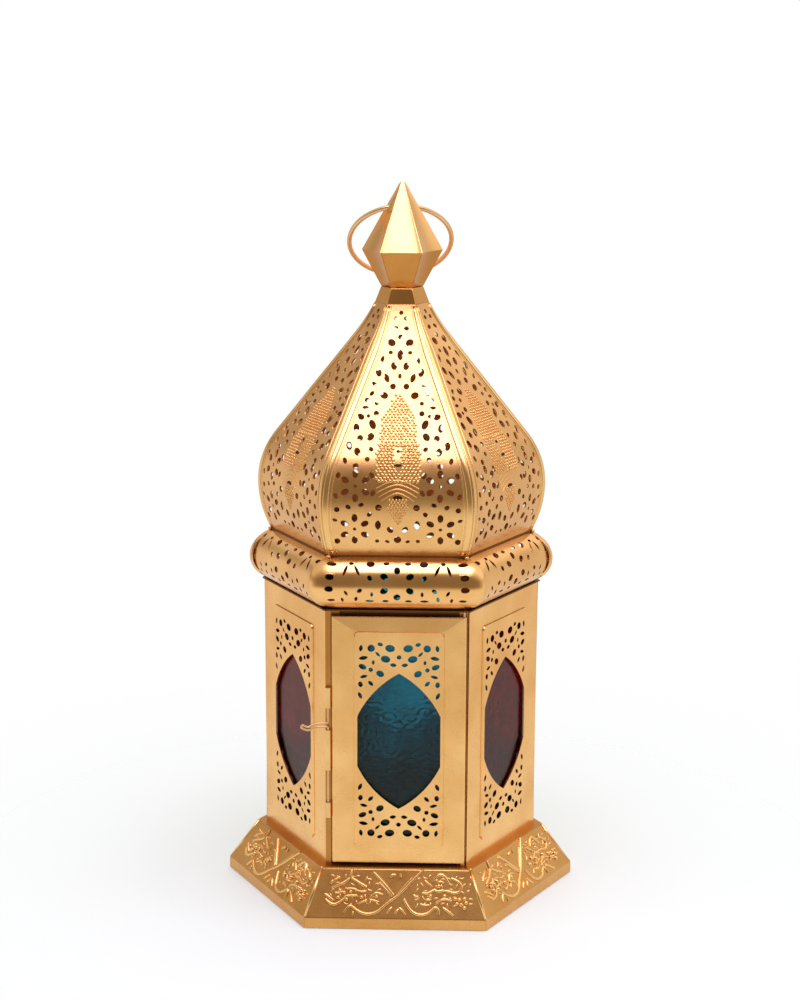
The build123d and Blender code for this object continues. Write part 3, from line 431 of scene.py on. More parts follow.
def gold(name, tone, shine, grain=0.05, wave=0.25, lined=True, lacquer=0.0, lining=GOLD_DULL, crease_shade=0.0):
    """Satin gold sheet: cloudy tone, uneven gloss, fine grain and slight waves.
    A sheet with crease shade gets painted shade on faces that turn away from the axis, such as creases, steps
    and hole walls, and a lined one is dull inside."""
    material, maker, shader, place = new_material(name)
    fine = speckle(maker, place, GRAIN)
    smudge = speckle(maker, place, SMUDGES)
    clouds = speckle(maker, place, CLOUDS).between(*CLOUD_RANGE, 0.0, 1.0)
    tone_deep = tuple(value * share for value, share in zip(tone, DEEP_SHARES))
    cloudy = clouds.mixed(colour(tone_deep), colour(tone))
    normal = maker.make("ShaderNodeTexCoord", output="Normal")
    level = maker.make("ShaderNodeVectorMath", {"operation": "MULTIPLY"}, {0: place, 1: (1, 1, 0)})
    away = maker.make("ShaderNodeVectorMath", {"operation": "NORMALIZE"}, {0: level})
    outward = maker.make(
        "ShaderNodeVectorMath", {"operation": "DOT_PRODUCT"}, {0: normal, 1: away}, output="Value",
    )
    # painted shade: faces that turn away from the axis (creases, steps, hole walls) go dark
    outside = outward.between(*CREASE_RANGE, crease_shade, 0.0).mixed(cloudy, colour(GOLD_SHADE))
    inside = outward.between(*INSIDE_RANGE, 1.0 if lined else 0.0, 0.0)
    base = inside.mixed(outside, colour(lining))
    metal = inside.between(0.0, 1.0, 1.0, LINING_METAL)
    gloss = shine + (smudge - NOISE_MIDDLE) * SMUDGE_GLOSS + (fine - NOISE_MIDDLE) * GRAIN_GLOSS
    waves = maker.make(
        "ShaderNodeBump", None,
        {"Strength": wave, "Distance": WAVE_DEPTH, "Height": speckle(maker, place, WAVES)},
    )
    grained = maker.make(
        "ShaderNodeBump", None,
        {"Strength": grain, "Distance": GRAIN_DEPTH, "Height": fine, "Normal": waves},
    )
    feed(
        maker, shader, Base_Color=base, Metallic=metal, Roughness=gloss, Normal=grained,
        Coat_Weight=lacquer, Coat_Roughness=LACQUER_ROUGHNESS,
    )
    return material


def figured_glass(name, tone):
    """Coloured pressed glass: deeper and lighter streaks, a faint ripple and a glossy face."""
    material, maker, shader, place = new_material(name)
    streaks = speckle(maker, place, STREAKS)
    deep = tuple(value * GLASS_DEEP_SHARE for value in tone)
    base = streaks.between(*STREAK_RANGE, 0.0, 1.0).mixed(colour(deep), colour(tone))
    gloss = streaks.between(*GLOSS_RANGE, *GLASS_ROUGHNESS)
    ripple = maker.make(
        "ShaderNodeBump", None,
        {"Strength": RIPPLE_STRENGTH, "Distance": RIPPLE_DEPTH, "Height": speckle(maker, place, RIPPLES)},
    )
    feed(
        maker, shader, Base_Color=base, Roughness=gloss, Normal=ripple,
        Transmission_Weight=1.0, IOR=GLASS_IOR,
    )
    return material


def pale_floor(name):
    """Pale floor that fades into the white round it."""
    material, maker, shader, place = new_material(name)
    dim = [FLOOR_DIM_SHARE * value for value in FLOOR_WHITE]
    base = speckle(maker, place, FLOOR_CLOUDS).mixed(colour(dim), colour(FLOOR_WHITE))
    reach = maker.make("ShaderNodeVectorMath", {"operation": "LENGTH"}, {0: place}, output="Value")
    fade = reach.between(FLOOR_NEAR, FLOOR_FAR, 1.0, 0.0)
    feed(maker, shader, Base_Color=base, Roughness=FLOOR_ROUGHNESS, Alpha=fade * fade * FLOOR_ALPHA)
    return material


MATERIALS = {
    # the panels carry painted shade in their creases, steps and hole walls
    "panel": gold("panel_gold", GOLD, shine=0.26, lining=TIN, crease_shade=0.75),
    "dome": gold("dome_gold", GOLD_DOME, shine=0.27, grain=0.10, lacquer=0.6),
    "motif": gold("motif_gold", GOLD_DOME, shine=0.30, wave=0.0, lined=False, lacquer=0.4),
    "rim": gold("rim_gold", GOLD_RIM, shine=0.22, grain=0.08, lacquer=0.5),
    "base": gold("base_gold", GOLD_DEEP, shine=0.27, grain=0.22),
    "edge": gold("edge_gold", GOLD_PALE, shine=0.24, wave=0.0, lined=False),
    "finial": gold("finial_gold", GOLD_RIM, shine=0.17, wave=0.1, lacquer=0.6),
    # painted dark reflection: the finial's lower cone takes a browner tone than its upper cone
    "finial_foot_shade": gold("finial_foot_gold", GOLD_SHADE_BROWN, shine=0.20, wave=0.1),
    # painted shade: the neck is darker for lying under the finial's overhang
    "neck": gold("neck_shaded_gold", GOLD_DEEP, shine=0.13, wave=0.0),
    "inner": gold("inner_gold", GOLD_DULL, shine=0.45),
    "shade": gold("shaded_gold", GOLD_SHADE, shine=0.45),
    # painted shade for the ledge under the door and the jamb strip beside it
    "strip_shade": gold("strip_gold", GOLD_SHADE_BROWN, shine=0.35),
    "pit": gold("pit_shade", PIT_SHADE, shine=0.60, wave=0.0),
    "wire": gold("wire_gold", GOLD_WIRE, shine=0.30, wave=0.0),
    "teal": figured_glass("teal_figured_glass", TEAL),
    "ruby": figured_glass("ruby_figured_glass", RUBY),
}
NODE_FINISHES = (
    ("base_top_plate", "strip_shade"),
    ("base_", "base"),
    ("candle_cup", "inner"),
    ("corner_post_latch", "strip_shade"),
    ("corner_post", "inner"),
    ("side_pane_clips", "inner"),
    ("side_panel", "panel"),
    ("door_pane_clips", "inner"),
    ("door_panel", "panel"),
    ("door_", "shade"),
    ("hinge_wire", "wire"),
    ("latch_guide", "edge"),
    ("latch_wire", "wire"),
    ("lower_deck", "shade"),
    ("upper_deck", "dome"),
    ("rim_segment", "rim"),
    ("dome_gore", "dome"),
    ("neck_collar", "neck"),
    ("finial_lower", "finial_foot_shade"),
    ("finial", "finial"),
    ("hanging_ring", "wire"),
)


def dress(piece, finish):
    """Gives a piece one of the finishes in every slot."""
    slots = piece.data.materials
    if not slots:
        slots.append(MATERIALS[finish])
    for index in range(len(slots)):
        slots[index] = MATERIALS[finish]


def dress_nodes():
    for name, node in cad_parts.items():
        for start, finish in NODE_FINISHES:
            if name.startswith(start):
                dress(node, finish)
                break


def new_piece(name, bm, finish, body="lantern", smooth=True, crease=None):
    """Object from a finished bmesh, dressed and riding on its body, sharp where it bends over the crease."""
    mesh = bpy.data.meshes.new(name)
    bm.normal_update()
    bm.to_mesh(mesh)
    bm.free()
    if "custom_normal" in mesh.attributes:  # the solid's own, which no longer fit
        mesh.attributes.remove(mesh.attributes["custom_normal"])
    if smooth:
        mesh.shade_smooth()
    if crease:
        mesh.set_sharp_from_angle(angle=crease)
    piece = bpy.data.objects.new(name, mesh)
    bpy.context.scene.collection.objects.link(piece)
    dress(piece, finish)
    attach(piece, body)
    return piece


def turn_to(bm, place):
    """Turns a mesh from the front to one of the sides."""
    turn = Matrix.Rotation(place * SIXTH, 3, "Z")
    bmesh.ops.rotate(bm, verts=bm.verts, cent=(0, 0, 0), matrix=turn)


def turned_copy(bm, place):
    """Copy of a front piece turned to one of the sides."""
    copy = bm.copy()
    turn_to(copy, place)
    return copy


def merged_copy(node, place=0):
    """The node's mesh with its points merged, turned from its side to the front."""
    bm = bmesh.new()
    bm.from_mesh(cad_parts[node].data)
    bmesh.ops.remove_doubles(bm, verts=bm.verts, dist=MERGE)
    turn_to(bm, -place)
    return bm


def round_edges(bm, edges, radius, steps):
    """Rounds edges over, and gives the new faces."""
    made = bmesh.ops.bevel(
        bm, geom=edges, offset=radius, affect="EDGES", segments=steps, profile=0.5, material=-1,
        clamp_overlap=True,
    )
    return made["faces"]


def cut_through(bm, point, normal):
    """Gives every face that a plane crosses an edge there."""
    geom = bm.verts[:] + bm.edges[:] + bm.faces[:]
    bmesh.ops.bisect_plane(bm, geom=geom, plane_co=point, plane_no=normal)


def close_rings(bm, rings):
    """Closed skin over rings of points that follow one another."""
    count = len(rings[0])
    for near, far in zip(rings, rings[1:]):
        for index in range(count):
            after = (index + 1) % count
            bm.faces.new((near[index], near[after], far[after], far[index]))
    bm.faces.new(rings[0])
    bm.faces.new(rings[-1])


def ball(bm, sides_and_rings, radius, place):
    sides, rings = sides_and_rings
    bmesh.ops.create_uvsphere(bm, u_segments=sides, v_segments=rings, radius=radius, matrix=place)


def stroke_mesh(strokes, radius):
    """Mesh of tapered strokes along smooth lines: each point is a place and a share of the radius."""
    curve = bpy.data.curves.new("strokes", "CURVE")
    curve.dimensions = "3D"
    curve.bevel_depth = radius
    curve.bevel_resolution = STROKE_ROUNDNESS
    curve.resolution_u = STROKE_STEPS
    curve.use_fill_caps = True
    for points in strokes:
        spline = curve.splines.new("NURBS")
        spline.points.add(len(points) - 1)
        for knot, (place, thick) in zip(spline.points, points):
            knot.co = (*place, 1)
            knot.radius = thick
        spline.order_u = STROKE_ORDER
        spline.use_endpoint_u = True
    holder = bpy.data.objects.new("strokes", curve)
    bpy.context.scene.collection.objects.link(holder)
    mesh = bpy.data.meshes.new_from_object(holder)
    bpy.data.objects.remove(holder)
    bpy.data.curves.remove(curve)
    return mesh


def skin_of(node):
    """Tree of a node's faces, to find its surface."""
    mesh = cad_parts[node].data
    return BVHTree.FromPolygons([v.co for v in mesh.vertices], [p.vertices for p in mesh.polygons])


def front_of(skin, x, z):
    """Point and normal where the front of a skin is at x and z, or None where it is open."""
    start = Vector((x, CAD_BOX[0].y - PROBE_LEAD, z))
    hit, normal, _, _ = skin.ray_cast(start, Vector((0, 1, 0)))
    return None if hit is None else (hit, normal)


def motif_half_width(z):
    for (low, half_low), (high, half_high) in zip(MOTIF_OUTLINE, MOTIF_OUTLINE[1:]):
        if low <= z <= high:
            return half_low + (half_high - half_low) * (z - low) / (high - low)
    return 0.0


def gore_face(skin, z):
    """Point in the middle of the front gore's face at a height, found between its holes, and its normal."""
    hits = [front_of(skin, x, z) for x in GORE_PROBES]
    point, normal = min((hit for hit in hits if hit), key=lambda hit: hit[0].y)
    return Vector((0, point.y, z)), normal


def facing(point, normal):
    """Place on a face: Z out of it, X level."""
    return Matrix.Translation(point) @ normal.to_track_quat("Z", "Y").to_matrix().to_4x4()


def gore_beads(bm, skin):
    """Staggered beads of the motif, round above and below and slanted scales between."""
    plain_half, plain_low, plain_high = MOTIF_PLAIN
    for low, high, pitch, long, tilt in BEAD_ROWS:
        row = 0
        z = low
        while z < high:
            middle, normal = gore_face(skin, z)
            half = motif_half_width(z)
            steps = math.ceil(half / pitch) + 1
            for step in range(-steps, steps + 1):
                stray = noise.cell_vector(Vector((step, row, tilt))) * pitch * BEAD_STRAY
                x = (step + 0.5 * (row % 2)) * pitch + stray.x
                in_plain = abs(x) < plain_half and plain_low < z < plain_high
                found = front_of(skin, x, z + stray.y)
                if abs(x) > half or in_plain or not found or found[0].y - middle.y > BEAD_DEPTH:
                    continue
                slant = Matrix.Rotation(math.copysign(math.radians(tilt), x), 4, "Z")
                shape = facing(found[0], normal) @ slant @ Matrix.Diagonal((long, 1, BEAD_RISE_SHARE, 1))
                ball(bm, BEAD_MESH, pitch * BEAD_SHARE, shape)
            row += 1
            z += pitch * BEAD_ROW_SHARE * math.sqrt(1 - normal.z ** 2)


def gore_arches(bm, skin):
    """Nested arches under the scales."""
    strokes = []
    for top, half in ARCHES:
        points = []
        for step in range(ARCH_POINTS):
            share = 2 * step / (ARCH_POINTS - 1) - 1
            middle, _ = gore_face(skin, top - ARCH_DROP * abs(share) ** ARCH_POWER)
            points.append((middle + Vector((share * half, 0, 0)), 1.0 - ARCH_TAPER * abs(share)))
        strokes.append(points)
    mesh = stroke_mesh(strokes, ARCH_RADIUS)
    bm.from_mesh(mesh)
    bpy.data.meshes.remove(mesh)


def gore_bands(bm, skin):
    """Raised bands along both edges of the front gore."""
    low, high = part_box("dome_gore_front")
    for inset, width, rise in GORE_BANDS:
        for side in (1, -1):
            rings = []
            for step in range(BAND_STEPS + 1):
                z = low.z + FOLD_RADIUS + (high.z - low.z - 2 * FOLD_RADIUS) * step / BAND_STEPS
                middle, normal = gore_face(skin, z)
                half = -middle.y * math.tan(SIXTH / 2)
                narrow = min(1.0, half / BAND_FULL)
                ring = []
                for across, lift in BAND_SECTION_SHARES:
                    x = side * (half - (inset + across * width) * narrow)
                    ring.append(bm.verts.new(middle + Vector((x, 0, 0)) + normal * lift * rise))
                rings.append(ring)
            close_rings(bm, rings)


def gore_pits(skin):
    """Small dark discs down the middle of the motif: painted shade where openings look into the dark inside.
    """
    bm = bmesh.new()
    for z, long, wide in MOTIF_PITS:
        middle, normal = gore_face(skin, z)
        shape = facing(middle + normal * PIT_LIFT, normal) @ Matrix.Diagonal((long, wide, 1, 1))
        bmesh.ops.create_circle(bm, cap_ends=True, segments=PIT_SIDES, radius=1, matrix=shape)
    return bm


def add_dome_dressing():
    skin = skin_of("dome_gore_front")
    motif = bmesh.new()
    gore_beads(motif, skin)
    gore_arches(motif, skin)
    bands = bmesh.new()
    gore_bands(bands, skin)
    for bm in (motif, bands):
        bmesh.ops.recalc_face_normals(bm, faces=bm.faces)
    pits = gore_pits(skin)
    for place, name in enumerate(PLACES):
        new_piece(f"dome_beads_{name}", turned_copy(motif, place), "motif")
        new_piece(f"dome_bands_{name}", turned_copy(bands, place), "edge")
        new_piece(f"dome_pits_{name}", turned_copy(pits, place), "pit")
    for bm in (motif, bands, pits):
        bm.free()


def rounded_ends(bm, reach):
    """Rounds both ends of the front rim segment and draws them out past the mitres."""
    outs = [-vert.co.y for vert in bm.verts]
    least, most = min(outs), max(outs)
    tilt = SIXTH / 2
    heights = [vert.co.z for vert in bm.verts]
    middle = Vector((0, -least, (min(heights) + max(heights)) / 2))
    for cut in RIM_CUTS:
        cut_through(bm, (cut, 0, 0), (1, 0, 0))
    for side in (1, -1):
        out = Vector((side * math.cos(tilt), math.sin(tilt), 0))
        for ring in RIM_RINGS:
            cut_through(bm, out * -ring, out)
        for vert in bm.verts:
            gap = -out.dot(vert.co)
            if gap > RIM_ROUND:
                continue
            bulge = min(1.0, RIM_BULGE_GAIN * (-vert.co.y - least) / (most - least))
            share = 1 - max(gap, 0) / RIM_ROUND
            sink = RIM_SINK * bulge * (1 - math.sqrt(1 - min(share, 1) ** 2))
            away = Vector((0, vert.co.y - middle.y, vert.co.z - middle.z)).normalized()
            vert.co.y -= away.y * sink
            vert.co.z -= away.z * sink * RIM_LEVEL_SHARE
            vert.co.x += side * reach * bulge * share


def add_rims():
    """Rim segments with rounded ends, every other one lapping over its neighbours."""
    for place, name in enumerate(PLACES):
        node = f"rim_segment_{name}"
        bm = merged_copy(node, place)
        rounded_ends(bm, RIM_REACH if place % 2 == 0 else 0)
        turn_to(bm, place)
        piece = new_piece(f"bolster_rim_{name}", bm, "rim", crease=EDGE_CREASE)
        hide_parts(node)


def add_upper_deck():
    """Upper deck drawn in a little, which leaves the groove at the dome's foot."""
    bm = merged_copy("upper_deck")
    outer = max(math.hypot(vert.co.x, vert.co.y) for vert in bm.verts)
    share = 1 - DECK_INSET / outer
    for vert in bm.verts:
        if math.hypot(vert.co.x, vert.co.y) > outer - DECK_EDGE:
            vert.co.x *= share
            vert.co.y *= share
    piece = new_piece("drawn_in_upper_deck", bm, "shade", smooth=False)
    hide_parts("upper_deck")


def outer_edges(bm, face, is_door):
    """Edges round the front of a panel that are folded or rounded on the real one."""
    fronts = [edge for edge in bm.edges if all(abs(vert.co.y - face) < ON_LEVEL for vert in edge.verts)]
    left = min(vert.co.x for vert in bm.verts)
    right = max(vert.co.x for vert in bm.verts)
    levels = [vert.co.z for edge in fronts for vert in edge.verts]
    sides = (left,) if is_door else (left, right)
    ends = (min(levels), max(levels)) if is_door else ()
    chosen = []
    for edge in fronts:
        one, two = (vert.co for vert in edge.verts)
        upright = any(abs(one.x - side) < SIDE_REACH and abs(two.x - side) < SIDE_REACH for side in sides)
        level = any(abs(one.z - end) < ON_LEVEL and abs(two.z - end) < ON_LEVEL for end in ends)
        if upright or level:
            chosen.append(edge)
    return chosen


def field_corners(bm, face):
    """Edges that run up the four corners of the step round a panel's field."""
    steps = []
    for edge in bm.edges:
        foot, head = sorted((vert.co for vert in edge.verts), key=lambda place: -place.y)
        rises = abs(foot.y - face) < ON_LEVEL and abs(head.y - face + FIELD_RISE) < ON_LEVEL
        slants = abs(foot.x - head.x) > LEVEL_REACH and abs(foot.z - head.z) > LEVEL_REACH
        if rises and slants and (foot - head).length < 2 * FIELD_RISE:
            steps.append(edge)
    return steps


def field_brink(bm, face, middle_x):
    """Edges round the field where it drops to the margins."""
    inner = [half - FIELD_RISE - BRINK_REACH for half in FIELD_HALF]
    brink = []
    for edge in bm.edges:
        raised = all(abs(vert.co.y - face + FIELD_RISE) < ON_LEVEL for vert in edge.verts)
        outer = all(
            abs(vert.co.x - middle_x) > inner[0] or abs(vert.co.z - FIELD_MIDDLE) > inner[1]
            for vert in edge.verts
        )
        if raised and outer and len(edge.link_faces) == 2 and edge.calc_face_angle() > BRINK_ANGLE:
            brink.append(edge)
    return brink


def slope_margins(bm, face, middle_x):
    """Tilts the four margins of a panel up to its field, and makes the step at the field's edge steeper."""
    for vert in bm.verts:
        across = abs(vert.co.x - middle_x) / FIELD_HALF[0]
        up = abs(vert.co.z - FIELD_MIDDLE) / FIELD_HALF[1]
        for level in (face, face - FIELD_RISE):
            if max(across, up) < 1 + STEP_REACH_SHARE and abs(vert.co.y - level) < LEVEL_REACH:
                vert.co.y = level  # the rounded corners come out a little off it
        is_foot = vert.co.y > face - ON_LEVEL and max(across, up) < STEP_FOOT_SHARE
        is_low = vert.co.y > face - FIELD_RISE + LEVEL_REACH
        is_back = is_low and abs(max(across - 1, up - 1)) < STEP_REACH_SHARE
        if is_foot or is_back:
            vert.co.x -= math.copysign(STEP_RUN, vert.co.x - middle_x)
            vert.co.z -= math.copysign(STEP_RUN, vert.co.z - FIELD_MIDDLE)
    margins = [vert for vert in bm.verts if abs(vert.co.y - face) < ON_LEVEL]
    left, right = (pick(vert.co.x for vert in margins) for pick in (min, max))
    low, high = (pick(vert.co.z for vert in margins) for pick in (min, max))
    foot = [half - STEP_RUN for half in FIELD_HALF]
    for vert in margins:
        share = min(
            (vert.co.x - left) / (middle_x - foot[0] - left),
            (right - vert.co.x) / (right - middle_x - foot[0]),
            (vert.co.z - low) / (FIELD_MIDDLE - foot[1] - low),
            (high - vert.co.z) / (high - FIELD_MIDDLE - foot[1]),
        )
        vert.co.y -= FRAME_RISE * min(1.0, max(0.0, share))


def add_panels():
    """Panels whose frames slope up to the raised field and whose outer edges are rounded."""
    for place, name in enumerate(PLACES):
        node = f"side_panel_{name}" if place else "door_panel"
        bm = merged_copy(node, place)
        for sheet_face in bm.faces:
            sheet_face.smooth = False
        face = min(vert.co.y for vert in bm.verts) + FIELD_RISE
        middle_x = 0 if place else DOOR_MIDDLE
        round_edges(bm, outer_edges(bm, face, not place), FOLD_RADIUS, FOLD_STEPS)
        round_edges(bm, field_corners(bm, face), FIELD_CORNER, FIELD_CORNER_STEPS)
        slope_margins(bm, face, middle_x)
        round_edges(bm, field_brink(bm, face, middle_x), BRINK_RADIUS, BRINK_STEPS)
        turn_to(bm, place)
        body = "lantern" if place else "door"
        piece = new_piece(f"pressed_{node}", bm, "panel", body, smooth=False)
        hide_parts(node)


def slope_frame():
    """Matrix of the front base panel's slope (X across, Y up the slope, Z out), its half width and height."""
    low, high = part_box("base_panel_front")
    skin = skin_of("base_panel_front")
    levels = (low.z + (high.z - low.z) * share for share in SLOPE_PROBE_SHARES)
    near, far = (front_of(skin, 0, level)[0] for level in levels)
    up = (far - near).normalized()
    out = Vector((1, 0, 0)).cross(up)
    top = near + up * ((high.z - near.z) / up.z)
    fold = near + up * ((low.y - near.y) / up.y)
    matrix = Matrix.Translation(fold) @ Matrix((Vector((1, 0, 0)), up, out)).transposed().to_4x4()
    return matrix, (high.x + abs(top.y) * math.tan(SIXTH / 2)) / 2, (top - fold).length


def small_leaves(half_width, height):
    """Short strokes scattered over both sprays of the base relief."""
    leaves = []
    cells = (half_width / LEAF_PITCH, height / LEAF_PITCH)
    for left, right, low, high in LEAF_SHARES:
        columns = range(math.ceil(left * cells[0]), math.floor(right * cells[0]) + 1)
        rows = range(math.ceil(low * cells[1]), math.floor(high * cells[1]) + 1)
        for column in columns:
            for row in rows:
                stray = noise.cell_vector(Vector((column, row, LEAF_SEED)))
                x = (column + LEAF_STRAY * stray.x) * LEAF_PITCH
                y = (row + LEAF_STRAY * stray.y) * LEAF_PITCH
                turn = 2 * math.pi * stray.z
                reach = Vector((math.cos(turn), math.sin(turn), 0)) * LEAF_HALF_LENGTH
                curl = Vector((-reach.y, reach.x, 0)) * LEAF_CURL
                middle = Vector((x, y, 0))
                tips = ((middle - reach, LEAF_TIP), (middle + reach, LEAF_TIP))
                leaves.append((tips[0], (middle + curl, LEAF_THICKNESS), tips[1]))
    return leaves


def base_relief():
    """Crossing stems with a flower spray on each side, raised on the front slope."""
    matrix, half_width, height = slope_frame()
    strokes = [
        [((across * half_width, max(up, RELIEF_LOW) * height, 0), thick) for across, up, thick in points]
        for points in RELIEF_SHARES
    ]
    strokes.extend(small_leaves(half_width, height))
    mesh = stroke_mesh(strokes, RELIEF_HALF_WIDTH)
    bm = bmesh.new()
    bm.from_mesh(mesh)
    bpy.data.meshes.remove(mesh)
    for across, up in RELIEF_BOSS_SHARES:
        ball(bm, BOSS_MESH, BOSS_RADIUS, Matrix.Translation((across * half_width, up * height, 0)))
    bmesh.ops.transform(bm, matrix=matrix, verts=bm.verts)
    bmesh.ops.recalc_face_normals(bm, faces=bm.faces)
    return bm


def rod(bm, start, end, radius):
    """Round rod between two points."""
    line = end - start
    place = facing((start + end) / 2, line)
    bmesh.ops.create_cone(
        bm, cap_ends=True, segments=ROD_SIDES, radius1=radius, radius2=radius, depth=line.length,
        matrix=place,
    )


def base_seam():
    """Rounded seam up the mitre at the front panel's right-hand edge, and the rounded head of the slope."""
    matrix, _, height = slope_frame()
    fold = matrix @ Vector((0, 0, 0))
    top = matrix @ Vector((0, height, 0))
    spread = math.tan(SIXTH / 2)
    start = Vector((-fold.y * spread, fold.y, fold.z))
    end = Vector((-top.y * spread, top.y, top.z))
    inward = Vector((start.x, start.y, 0)).normalized() * SEAM_RADIUS
    start -= inward * SEAM_SINK_SHARES[0]
    end -= inward * SEAM_SINK_SHARES[1]
    bm = bmesh.new()
    rod(bm, start, end, SEAM_RADIUS)
    for tip in (start, end):
        ball(bm, SEAM_MESH, SEAM_RADIUS, Matrix.Translation(tip))
    sunk = Vector((0, HEAD_RADIUS * HEAD_SINK_SHARES[0], -HEAD_RADIUS * HEAD_SINK_SHARES[1]))
    rod(bm, Vector((-end.x, end.y, end.z)) + sunk, end + sunk, HEAD_RADIUS)
    return bm


def add_base_dressing():
    relief = base_relief()
    seam = base_seam()
    for place, name in enumerate(PLACES):
        new_piece(f"base_relief_{name}", turned_copy(relief, place), "edge")
        new_piece(f"base_seam_{name}", turned_copy(seam, place), "edge")
    relief.free()
    seam.free()


def figure(x, z):
    """Height of the pressed figure: ripples round scattered centres."""
    cell_x, cell_z = math.floor(x / FIGURE_PITCH), math.floor(z / FIGURE_PITCH)
    margin = (1 - FIGURE_STRAY) / 2
    reaches = []
    for step_x in (-1, 0, 1):
        for step_z in (-1, 0, 1):
            seed = Vector((cell_x + step_x, cell_z + step_z, 0))
            shift = noise.cell_vector(seed)
            middle_x = (seed.x + margin + FIGURE_STRAY * shift.x) * FIGURE_PITCH
            middle_z = (seed.y + margin + FIGURE_STRAY * shift.y) * FIGURE_PITCH
            reaches.append(math.hypot(x - middle_x, (z - middle_z) * FIGURE_SQUASH))
    return math.cos(min(reaches) / FIGURE_WAVE * 2 * math.pi) * FIGURE_DEPTH


def figured_pane(width, height, thickness):
    """Pane standing in the XZ plane with its face at y = 0, plain outside and figured inside."""
    bm = bmesh.new()
    across, up = (max(2, round(size / GLASS_STEP)) for size in (width, height))
    stand = Matrix.Rotation(math.radians(90), 4, "X") @ Matrix.Diagonal((width / 2, height / 2, 1, 1))
    bmesh.ops.create_grid(bm, x_segments=across, y_segments=up, size=1, matrix=stand)
    edges = [edge for edge in bm.edges if edge.is_boundary]
    back = bmesh.ops.duplicate(bm, geom=bm.faces[:])["geom"]
    back_verts = [item for item in back if isinstance(item, bmesh.types.BMVert)]
    back_edges = [item for item in back if isinstance(item, bmesh.types.BMEdge) and item.is_boundary]
    for vert in back_verts:
        margin = min(width / 2 - abs(vert.co.x), height / 2 - abs(vert.co.z))
        fade = min(1.0, margin / FIGURE_WAVE)
        vert.co.y = thickness - FIGURE_DEPTH + figure(vert.co.x, vert.co.z) * fade
    bmesh.ops.bridge_loops(bm, edges=edges + back_edges)
    bmesh.ops.recalc_face_normals(bm, faces=bm.faces)
    return bm


def add_panes():
    """Figured panes in place of the plain ones."""
    for place, name in enumerate(PLACES):
        node = f"side_pane_{name}" if place else "door_pane"
        back_turn = Matrix.Rotation(-place * SIXTH, 3, "Z")
        points = [back_turn @ vert.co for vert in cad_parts[node].data.vertices]
        low = Vector(min(point[axis] for point in points) for axis in range(3))
        high = Vector(max(point[axis] for point in points) for axis in range(3))
        size = high - low
        bm = figured_pane(*(size[axis] - 2 * GLASS_EDGE for axis in (0, 2, 1)))
        shift = Vector(((low.x + high.x) / 2, low.y + GLASS_EDGE, (low.z + high.z) / 2))
        bmesh.ops.translate(bm, verts=bm.verts, vec=shift)
        turn_to(bm, place)
        tint = "teal" if name in ("front", "back") else "ruby"
        body = "lantern" if place else "door"
        piece = new_piece(f"figured_pane_{name}", bm, tint, body)
        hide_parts(node)


def add_softened(node, radius, finish):
    """The node's shape with its edges rounded, in its place."""
    bm = merged_copy(node)
    bmesh.ops.dissolve_limit(bm, angle_limit=FLAT_ANGLE, verts=bm.verts, edges=bm.edges)
    sharp = [
        edge for edge in bm.edges if len(edge.link_faces) == 2 and edge.calc_face_angle() > EDGE_ANGLE
    ]
    for face in round_edges(bm, sharp, radius, EDGE_SEGMENTS):
        face.smooth = True
    piece = new_piece(f"softened_{node}", bm, finish, smooth=False)
    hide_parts(node)


def corner_reach(node, level):
    """How far a six-sided piece's corners stand from the axis at one of its ends."""
    points = [vert.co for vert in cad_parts[node].data.vertices]
    return max(math.hypot(point.x, point.y) for point in points if abs(point.z - level) < END_REACH)


def hollowed_cone(node, from_low):
    """Six-sided cone over the node's shape: facets a little hollow, narrow end drawn in a little."""
    low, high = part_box(node)
    ends = [(corner_reach(node, level), level) for level in (low.z, high.z)]
    (wide, wide_z), (narrow, narrow_z) = ends if from_low else ends[::-1]
    bm = bmesh.new()
    rings = []
    for share, inset in FACET_LEVELS:
        reach = wide + (narrow - wide) * share - inset
        z = wide_z + (narrow_z - wide_z) * share
        ring = []
        for place in range(len(PLACES)):
            turns = (place * SIXTH, (place + 1) * SIXTH)
            start, stop = (Vector((math.cos(turn), math.sin(turn), 0)) * reach for turn in turns)
            inward = (start + stop).normalized()
            for across in FACET_STEPS:
                hollow = FACET_HOLLOW * reach * (1 - across ** 2)
                ease = EDGE_EASE * reach if abs(across) == 1 else 0
                point = start.lerp(stop, (across + 1) / 2) - inward * hollow
                point -= Vector((point.x, point.y, 0)).normalized() * ease
                ring.append(bm.verts.new(point + Vector((0, 0, z))))
        rings.append(ring)
    close_rings(bm, rings)
    bmesh.ops.recalc_face_normals(bm, faces=bm.faces)
    return bm


def add_finial():
    """Finial's two cones with hollowed facets."""
    cones = (("finial_upper", "finial", True), ("finial_lower", "finial_foot_shade", False))
    for node, finish, from_low in cones:
        piece = new_piece(f"hollowed_{node}", hollowed_cone(node, from_low), finish, crease=EDGE_CREASE)
        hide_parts(node)


def add_solder_dots():
    """Drops of solder where the rim's segments meet under the dome."""
    deck_low, deck_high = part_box("upper_deck")
    corner = Vector((deck_high.x - DECK_INSET, 0, deck_low.z))
    drop = Matrix.Translation(corner) @ Matrix.Diagonal(SOLDER_SHARES)
    bm = bmesh.new()
    for place in range(len(PLACES)):
        ball(bm, SOLDER_MESH, SOLDER_RADIUS, Matrix.Rotation(place * SIXTH, 4, "Z") @ drop)
    new_piece("rim_solder_dots", bm, "edge")


